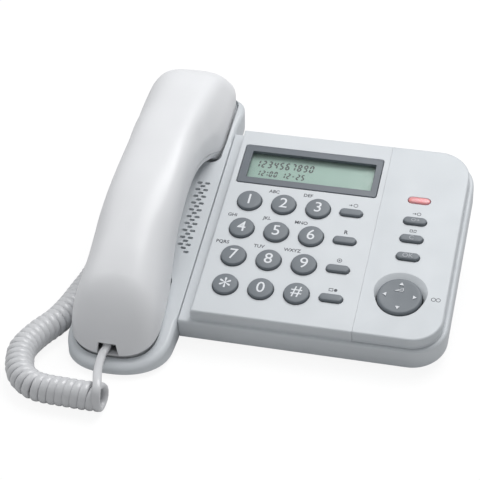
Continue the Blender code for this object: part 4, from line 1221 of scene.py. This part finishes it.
# ---------------------------------------------------------------- cradle
CRADLE = {
    "front": -0.0335, "back": 0.1640, "reach": 0.0240, "powers": (2.3, 2.6),
    "spine": (-0.0070, 0.1385),
    "left": ((-0.0340, 0.0256), (-0.0060, 0.0255), (0.0020, 0.0249), (0.0100, 0.0236), (0.0180, 0.0224),
             (0.0260, 0.0212), (0.0360, 0.0196), (0.0840, 0.0196), (0.0960, 0.0228), (0.1080, 0.0270),
             (0.1200, 0.0284), (0.1650, 0.0284)),
    "right": ((-0.0340, 0.0276), (0.1300, 0.0276), (0.1420, 0.0287), (0.1650, 0.0288)),
    "joined": (0.0040, 0.1180),
}
DECK = ((-0.040, -0.0068), (0.040, -0.0065), (0.100, -0.0064), (0.138, -0.0064), (0.150, -0.0085),
        (0.158, -0.0115), (0.165, -0.0150))
MOUTH_POCKET_FLOOR = -0.0108
EAR_POCKET_FLOOR = -0.0130
POCKET_GAP = 0.0014
POCKET_CORNER = 0.0055
POCKET_WALL = 0.0018
POCKETS = ((-0.040, 0.0260, MOUTH_POCKET_FLOOR), (0.1055, 0.1750, EAR_POCKET_FLOOR))
HOOK_SLOT = (CRADLE_X - 0.0040, 0.1180, -0.0180, CRADLE_X + 0.0040, 0.1260, -0.0100)
CRADLE_LIP = 0.0026


def deck_height(y):
    return panel_height(y, along(y, DECK))


def cradle_bottom(y):
    return max(CRADLE_FLOOR, panel_height(y, SLAB_N))


def lip_radius(y):
    return min(CRADLE_LIP, (deck_height(y) - cradle_bottom(y)) * 0.5)


def make_cradle():
    rings = [long_ring(CRADLE, cradle_bottom, 1.0), long_ring(CRADLE, cradle_bottom, 0.0, 0.0004),
             long_ring(CRADLE, lambda y: cradle_bottom(y) + 0.0004)]
    for inset, height in rounding(1.0, 0.0, 7):
        rings.append(long_ring(CRADLE, lambda y, height=height: deck_height(y) + lip_radius(y) * height,
                               0.0, CRADLE_LIP * inset))
    for fraction in (0.15, 0.4, 0.7, 1.0):
        rings.append(long_ring(CRADLE, deck_height, fraction, CRADLE_LIP))
    def ceiling(y):
        return deck_height(y) - WALL

    inner = [long_ring(CRADLE, lambda y: -0.01, 0.0, WALL), long_ring(CRADLE, ceiling, 0.0, WALL),
             long_ring(CRADLE, ceiling, 1.0, WALL)]
    core = new_object("core", loft_to_spine(inner), DESK)
    carve(core, [("DIFFERENCE", pocket(low, high, floor, POCKET_WALL), DESK) for low, high, floor in POCKETS])
    hollow = bmesh.new()
    hollow.from_mesh(core.data)
    bpy.data.objects.remove(core, do_unlink=True)
    cutters = [(hollow, Matrix.Identity(4))]
    cutters += [(pocket(low, high, floor), DESK) for low, high, floor in POCKETS]
    notch = box(CRADLE_RIGHT - WALL - 0.001, 0.0, SLAB_N - 0.001, CRADLE_RIGHT + 0.001, 0.1250, NOTCH_TOP)
    cutters += [(notch, PANEL), (box(*HOOK_SLOT), PANEL), (sound_slots(), DESK)]
    make_piece("cradle_shell", loft_to_spine(rings, True), DESK, "case", "base", "case_plastic",
               ("cradle_case",), [("DIFFERENCE", cutter, matrix) for cutter, matrix in cutters])


SLOT = (0.0029, 0.00150)
# x, back and front y, number of slots
SLOT_COLUMNS = ((-0.0130, 0.0892, 0.0423, 11), (-0.0151, 0.0870, 0.0447, 10), (-0.0172, 0.0892, 0.0470, 10))


def sound_slots():
    cutters = []
    for x, back, front, count in SLOT_COLUMNS:
        for k in range(count):
            y = back + (front - back) * k / (count - 1)
            low, high = panel_height(y, -0.0110), panel_height(y, -0.0030)
            cutters.append(prism(oval_outline(*SLOT, 6), low, high, (x, y)))
    return merge(cutters)


def pocket(low, high, floor, wall=0.0):
    """The handset's outline between two places, grown by the gap and a wall, with round corners
    at its inner end."""
    margin = POCKET_GAP + wall
    corner = POCKET_CORNER + wall
    is_front = low < 0.0
    side = []
    for x, y, z in long_ring(HANDSET, lower_skin(0.0), 0.0, 0.0, draw_in(1.0, 0.0)):
        if low + (0.0 if is_front else corner) < y < high - (corner if is_front else 0.0):
            side.append(tuple(pulled(HANDSET, Vector((x, y)), 0.0, -margin)))
    right = [point for point in side if point[0] > CRADLE_X + 0.0001]
    left = [point for point in side if point[0] < CRADLE_X - 0.0001]
    middle = [point for point in side if abs(point[0] - CRADLE_X) <= 0.0001]
    if is_front:
        line = high + margin
        turn = arc(right[-1][0] - corner, line - corner, corner, 0, 90, 8)
        turn += arc(left[0][0] + corner, line - corner, corner, 90, 180, 8)
        outline = middle + right + turn + left
    else:
        line = low - margin
        turn = arc(left[-1][0] + corner, line + corner, corner, 180, 270, 8)
        turn += arc(right[0][0] - corner, line + corner, corner, 270, 360, 8)
        outline = right + middle + left + turn
    return loft([[(x, y, panel_height(y, floor - wall)) for x, y in outline],
                 [(x, y, ABOVE_EVERYTHING) for x, y in outline]])


def make_speaker_cloth():
    """Dark acoustic cloth behind the sound slots."""
    cloth = box(-0.0205, 0.0400, -0.0101, -0.0100, 0.0960, -0.0094)
    make_piece("speaker_cloth", cloth, PANEL, "cloth", "base", "inner_plastic")


# ---------------------------------------------------------------- handset
HANDSET = {
    "front": -0.0285, "back": 0.1615, "reach": 0.0210, "powers": (2.6, 3.2),
    "spine": (-0.0075, 0.1395),
    "left": ((-0.030, 0.0236), (0.000, 0.0235), (0.030, 0.0224), (0.060, 0.0214), (0.085, 0.0217),
             (0.108, 0.0246), (0.122, 0.0256), (0.163, 0.0256)),
    "right": ((-0.030, 0.0226), (-0.012, 0.0222), (0.005, 0.0213), (0.030, 0.0196), (0.060, 0.0186),
              (0.085, 0.0189), (0.102, 0.0210), (0.114, 0.0228), (0.130, 0.0232), (0.163, 0.0232)),
}
CROWN = ((-0.0285, 0.0170), (-0.022, 0.0300), (-0.012, 0.0415), (0.000, 0.0490), (0.014, 0.0555),
         (0.034, 0.0630), (0.051, 0.0680), (0.072, 0.0723), (0.088, 0.0744), (0.108, 0.0762),
         (0.128, 0.0768), (0.144, 0.0754), (0.154, 0.0730), (0.162, 0.0690))
PARTING = ((-0.0285, 0.0084), (-0.010, 0.0120), (0.010, 0.0165), (0.018, 0.0230), (0.032, 0.0370),
           (0.050, 0.0470), (0.075, 0.0530), (0.092, 0.0530), (0.104, 0.0495), (0.114, 0.0460),
           (0.130, 0.0495), (0.162, 0.0580))
UNDERCUT = ((-0.0285, 0.0026), (0.026, 0.0026), (0.038, 0.0010), (0.085, 0.0008), (0.110, 0.0), (0.160, 0.0))
SHOULDER_LEAN = ((-0.0285, 0.0), (0.060, 0.0), (0.110, 0.0012), (0.160, 0.0015))
MOUTH_Y = 0.0
EAR_Y = 0.1346
MOUTH_FACE = -0.0102
EAR_FACE = -0.0104
GRIP_DEPTH = 0.0040
HANDSET_SHARP_ANGLE = 50.0
SECTION_POWER = 2.7
RIDGE_POWER = 4.2
RIDGE_LEAN = ((-0.03, 0.0), (0.03, 0.0003), (0.07, 0.0010), (0.100, 0.0018), (0.125, 0.0022), (0.162, 0.0022))
UPPER_STEPS = (1.0, 0.85, 0.70, 0.56, 0.44, 0.34, 0.26, 0.19, 0.135, 0.09, 0.055, 0.03, 0.013, 0.004)
SIDE_STEPS = ((0.13, 0.12), (0.08, 0.35), (0.035, 0.68), (0.0, 1.0))


def face_height(y):
    grip = along(y, PARTING) - GRIP_DEPTH
    mouth = panel_height(y, MOUTH_FACE)
    ear = panel_height(y, EAR_FACE)
    low = mouth + (grip - mouth) * smooth_step(y, 0.014, 0.030)
    return low + (ear - low) * smooth_step(y, 0.1055, 0.1125)


def upper_skin(share, drop=0.0):
    def height(y):
        base = along(y, PARTING)
        return base + (along(y, CROWN) - drop - base) * share
    return height


def lower_skin(share, lift=0.0):
    def height(y):
        base = along(y, PARTING) - GAP
        return base + (face_height(y) + lift - base) * share
    return height


def draw_in(undercut, share):
    def lean(y):
        shoulder = smooth_step(share, 0.3, 0.7) * along(y, SHOULDER_LEAN)
        return undercut * along(y, UNDERCUT) + shoulder
    return lean


def cord_notch():
    """The cord's mouth in the front end, wider at its top."""
    rings = []
    for y in (-0.0310, -0.0235):
        rings.append([(CORD_X - 0.0047, y, 0.0098), (CORD_X + 0.0067, y, 0.0098),
                      (CORD_X + 0.0047, y, 0.0155), (CORD_X - 0.0043, y, 0.0155)])
    return loft(rings)


def section_share(fraction, power):
    """Height of a rounded section at a fraction of the way from its side to its middle."""
    return (1.0 - (1.0 - fraction) ** power) ** (1 / power)


def upper_ring(fraction, level=None, cut=0.0):
    """A ring of the upper shell's skin. Along the right its section is squarer and leans in,
    which draws a soft ridge over a sloping side wall."""
    ring = []
    for point in long_outline(HANDSET):
        right = smooth_step(point.x - CRADLE_X, 0.002, 0.014) * smooth_step(point.y, 0.015, 0.070)
        right *= 1.0 - smooth_step(point.y, 0.138, 0.158)
        share = level
        if level is None:
            soft, square = section_share(fraction, SECTION_POWER), section_share(fraction, RIDGE_POWER)
            share = soft + (square - soft) * right
        lean = draw_in(cut, share)(point.y)
        lean += right * smooth_step(share, 0.1, 0.95) * along(point.y, RIDGE_LEAN)
        moved = pulled(HANDSET, point, fraction, lean)
        ring.append((moved.x, moved.y, upper_skin(share)(moved.y)))
    return ring


def make_handset():
    outer = [upper_ring(f) for f in UPPER_STEPS] + [upper_ring(0.0, share, cut) for share, cut in SIDE_STEPS]
    section = ((0.0, 0.0, 1.0), (0.0, 0.2, 0.1), (0.08, 0.54, 0.0), (0.25, 0.78, 0.0), (1.0, 1.0, 0.0))
    inner = []
    for f, share, cut in section:
        inner.append(long_ring(HANDSET, upper_skin(share, WALL), f, WALL, draw_in(cut, share)))
    make_piece("handset_upper", loft_to_spine(outer + inner, True), DESK, "handset", "handset",
               "handset_plastic", ("handset_back_shell",), [("DIFFERENCE", cord_notch(), DESK)],
               angle=HANDSET_SHARP_ANGLE)
    edge = draw_in(1.0, 0.0)
    steps = ((1.0, 1.0), (0.7, 1.0), (0.4, 1.0), (0.2, 1.0), (0.10, 0.99), (0.06, 0.94), (0.035, 0.80),
             (0.015, 0.50), (0.0, 0.0))
    outer = [long_ring(HANDSET, lower_skin(share), f, 0.0, edge) for f, share in steps]
    steps = ((0.0, 0.0), (0.06, 1.0), (1.0, 1.0))
    inner = [long_ring(HANDSET, lower_skin(share, 0.0018), f, WALL, edge) for f, share in steps]
    holes = []
    for centre, count, radius in ((MOUTH_Y, 1, 0.0), (MOUTH_Y, 6, 0.0030), (EAR_Y, 1, 0.0),
                                  (EAR_Y, 6, 0.0032), (EAR_Y, 12, 0.0064)):
        for k in range(count):
            a = 2 * math.pi * k / count
            spot = (CRADLE_X + radius * math.cos(a), centre + radius * math.sin(a))
            level = panel_height(centre, MOUTH_FACE)
            holes.append(prism(circle_outline(0.0008, 12), level - 0.004, level + 0.0035, spot))
    make_piece("handset_lower", loft_to_spine(outer + inner, True), DESK, "handset",
               "handset", "handset_plastic", ("handset_front_shell",),
               [("DIFFERENCE", merge(holes), DESK)], angle=HANDSET_SHARP_ANGLE)


# ---------------------------------------------------------------- printed marks on the case
LINE = 0.0003               # width of printed lines
KEY_LETTERS = {(1, 0): "ABC", (2, 0): "DEF", (0, 1): "GHI", (1, 1): "JKL", (2, 1): "MNO",
               (0, 2): "PQRS", (1, 2): "TUV", (2, 2): "WXYZ"}


def ring_mark(radius, u, v):
    wide, narrow = circle_outline(radius, 24), circle_outline(radius - LINE, 24)
    section = ((wide, 0.0), (narrow, 0.0), (narrow, PRINT), (wide, PRINT), (wide, 0.0))
    bm, rows = bridge([[(x, y, n) for x, y in shifted(outline, (u, v))] for outline, n in section])
    return joined(bm)


def flat_box(x0, y0, x1, y1):
    return box(x0, y0, 0.0, x1, y1, PRINT)


def open_box(x0, y0, x1, y1):
    a0, b0, a1, b1 = x0 + LINE, y0 + LINE, x1 - LINE, y1 - LINE
    return merge([flat_box(x0, y0, x1, b0), flat_box(x0, b1, x1, y1), flat_box(x0, b0, a0, b1),
                  flat_box(a1, b0, x1, b1)])


def dot(radius, u, v):
    return prism(circle_outline(radius, 16), 0.0, PRINT, (u, v))


def arrow(u, v, length):
    neck = u + length - 0.0008
    tip = prism([(neck, v - 0.0007), (u + length, v), (neck, v + 0.0007)], 0.0, PRINT)
    return merge([flat_box(u, v - LINE / 2, neck, v + LINE / 2), tip])


def letters(text, size, bold, u, v):
    bm = text_mesh(text, size, bold)
    bmesh.ops.translate(bm, verts=bm.verts, vec=(u, v, 0.0))
    return bm


def make_marks():
    prints = []
    for (column, row), text in KEY_LETTERS.items():
        u = KEY_COLUMNS[column] - (0.0077 if len(text) == 4 else 0.0068)
        prints.append(letters(text, 0.0029, 0.00005, u, KEY_ROWS[row] + 0.0087))
    u = FUNCTION_U
    speaker, recall, redial, pause = (v + 0.0056 for v in KEY_ROWS)
    prints += [arrow(u - 0.0021, speaker, 0.0019), ring_mark(0.0012, u + 0.0015, speaker),
               letters("R", 0.0033, 0.00010, u - 0.0002, recall + 0.0004),
               ring_mark(0.0013, u - 0.0002, redial + 0.0003),
               dot(0.00045, u - 0.0002, redial + 0.0003),
               open_box(u - 0.0021, pause - 0.0009, u + 0.0001, pause + 0.0010),
               dot(0.0009, u + 0.0014, pause)]
    make_piece("case_print", merge(prints), PANEL, "dark_ink", "base", "case_plastic")
    u = CONTROL_U
    prints = [arrow(u - 0.0020, 0.0812, 0.0020), ring_mark(0.0011, u + 0.0013, 0.0812),
              open_box(u - 0.0017, 0.0685, u - 0.0002, 0.0703),
              open_box(u + 0.0003, 0.0685, u + 0.0017, 0.0703),
              ring_mark(0.0012, 0.1180, 0.0268), ring_mark(0.0012, 0.1204, 0.0268)]
    make_piece("panel_print", merge(prints), PANEL, "dark_ink", "base", "case_plastic")
    top = 0.0016
    for key, text in (("clear_key", "C"), ("enter_key", "OK")):
        legend(key + "_legend", text, 0.0038, at(u, CONTROL_KEYS[key], top), key, 0.0, "grey_ink")
    edit = merge([ring_mark(0.0011, -0.0008, 0.0), arrow(0.0006, 0.0, 0.0017)])
    make_piece("edit_key_legend", edit, at(u, CONTROL_KEYS["edit_key"], top), "grey_ink",
               "edit_key", "key_plastic")


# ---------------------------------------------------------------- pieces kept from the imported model
KEPT = {
    "base": ("base_cover", "battery_cover"),
    "inner": ("battery_tray", "line_jack", "base_cord_jack", "hook_lever", "hook_switch", "handset_jack",
              "navigator_rocker", "receiver_capsule"),
    "rubber": ("foot_front_left", "foot_front_right", "foot_back_left", "foot_back_right", "keypad_mat",
               "control_mat"),
    "steel": ("base_screw_1", "base_screw_2", "base_screw_3", "base_screw_4", "hook_pin", "ringer_speaker",
              "microphone_capsule", "handset_weight"),
    "board": ("main_circuit_board",),
    "window": ("display_window",),
    "lcd": ("lcd_glass",),
    "plug": ("handset_plug", "base_plug"),
}


def dress_kept_nodes():
    for finish, names in KEPT.items():
        for name in names:
            materials = frame["nodes"][name].data.materials
            materials.clear()
            materials.append(MATERIALS[finish])


# ---------------------------------------------------------------- build
make_camera()
MATERIALS = make_materials()
make_cord()
make_stage()
make_case()
make_control_panel()
make_keys()
make_navigator()
make_lens()
make_display()
make_cradle()
make_speaker_cloth()
make_handset()
make_marks()
dress_kept_nodes()

with open("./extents.json", "w") as out:
    json.dump({"cad": [list(map(float, corner)) for corner in cad_box],
               "visual": [list(map(float, corner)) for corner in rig.bounds()]}, out)
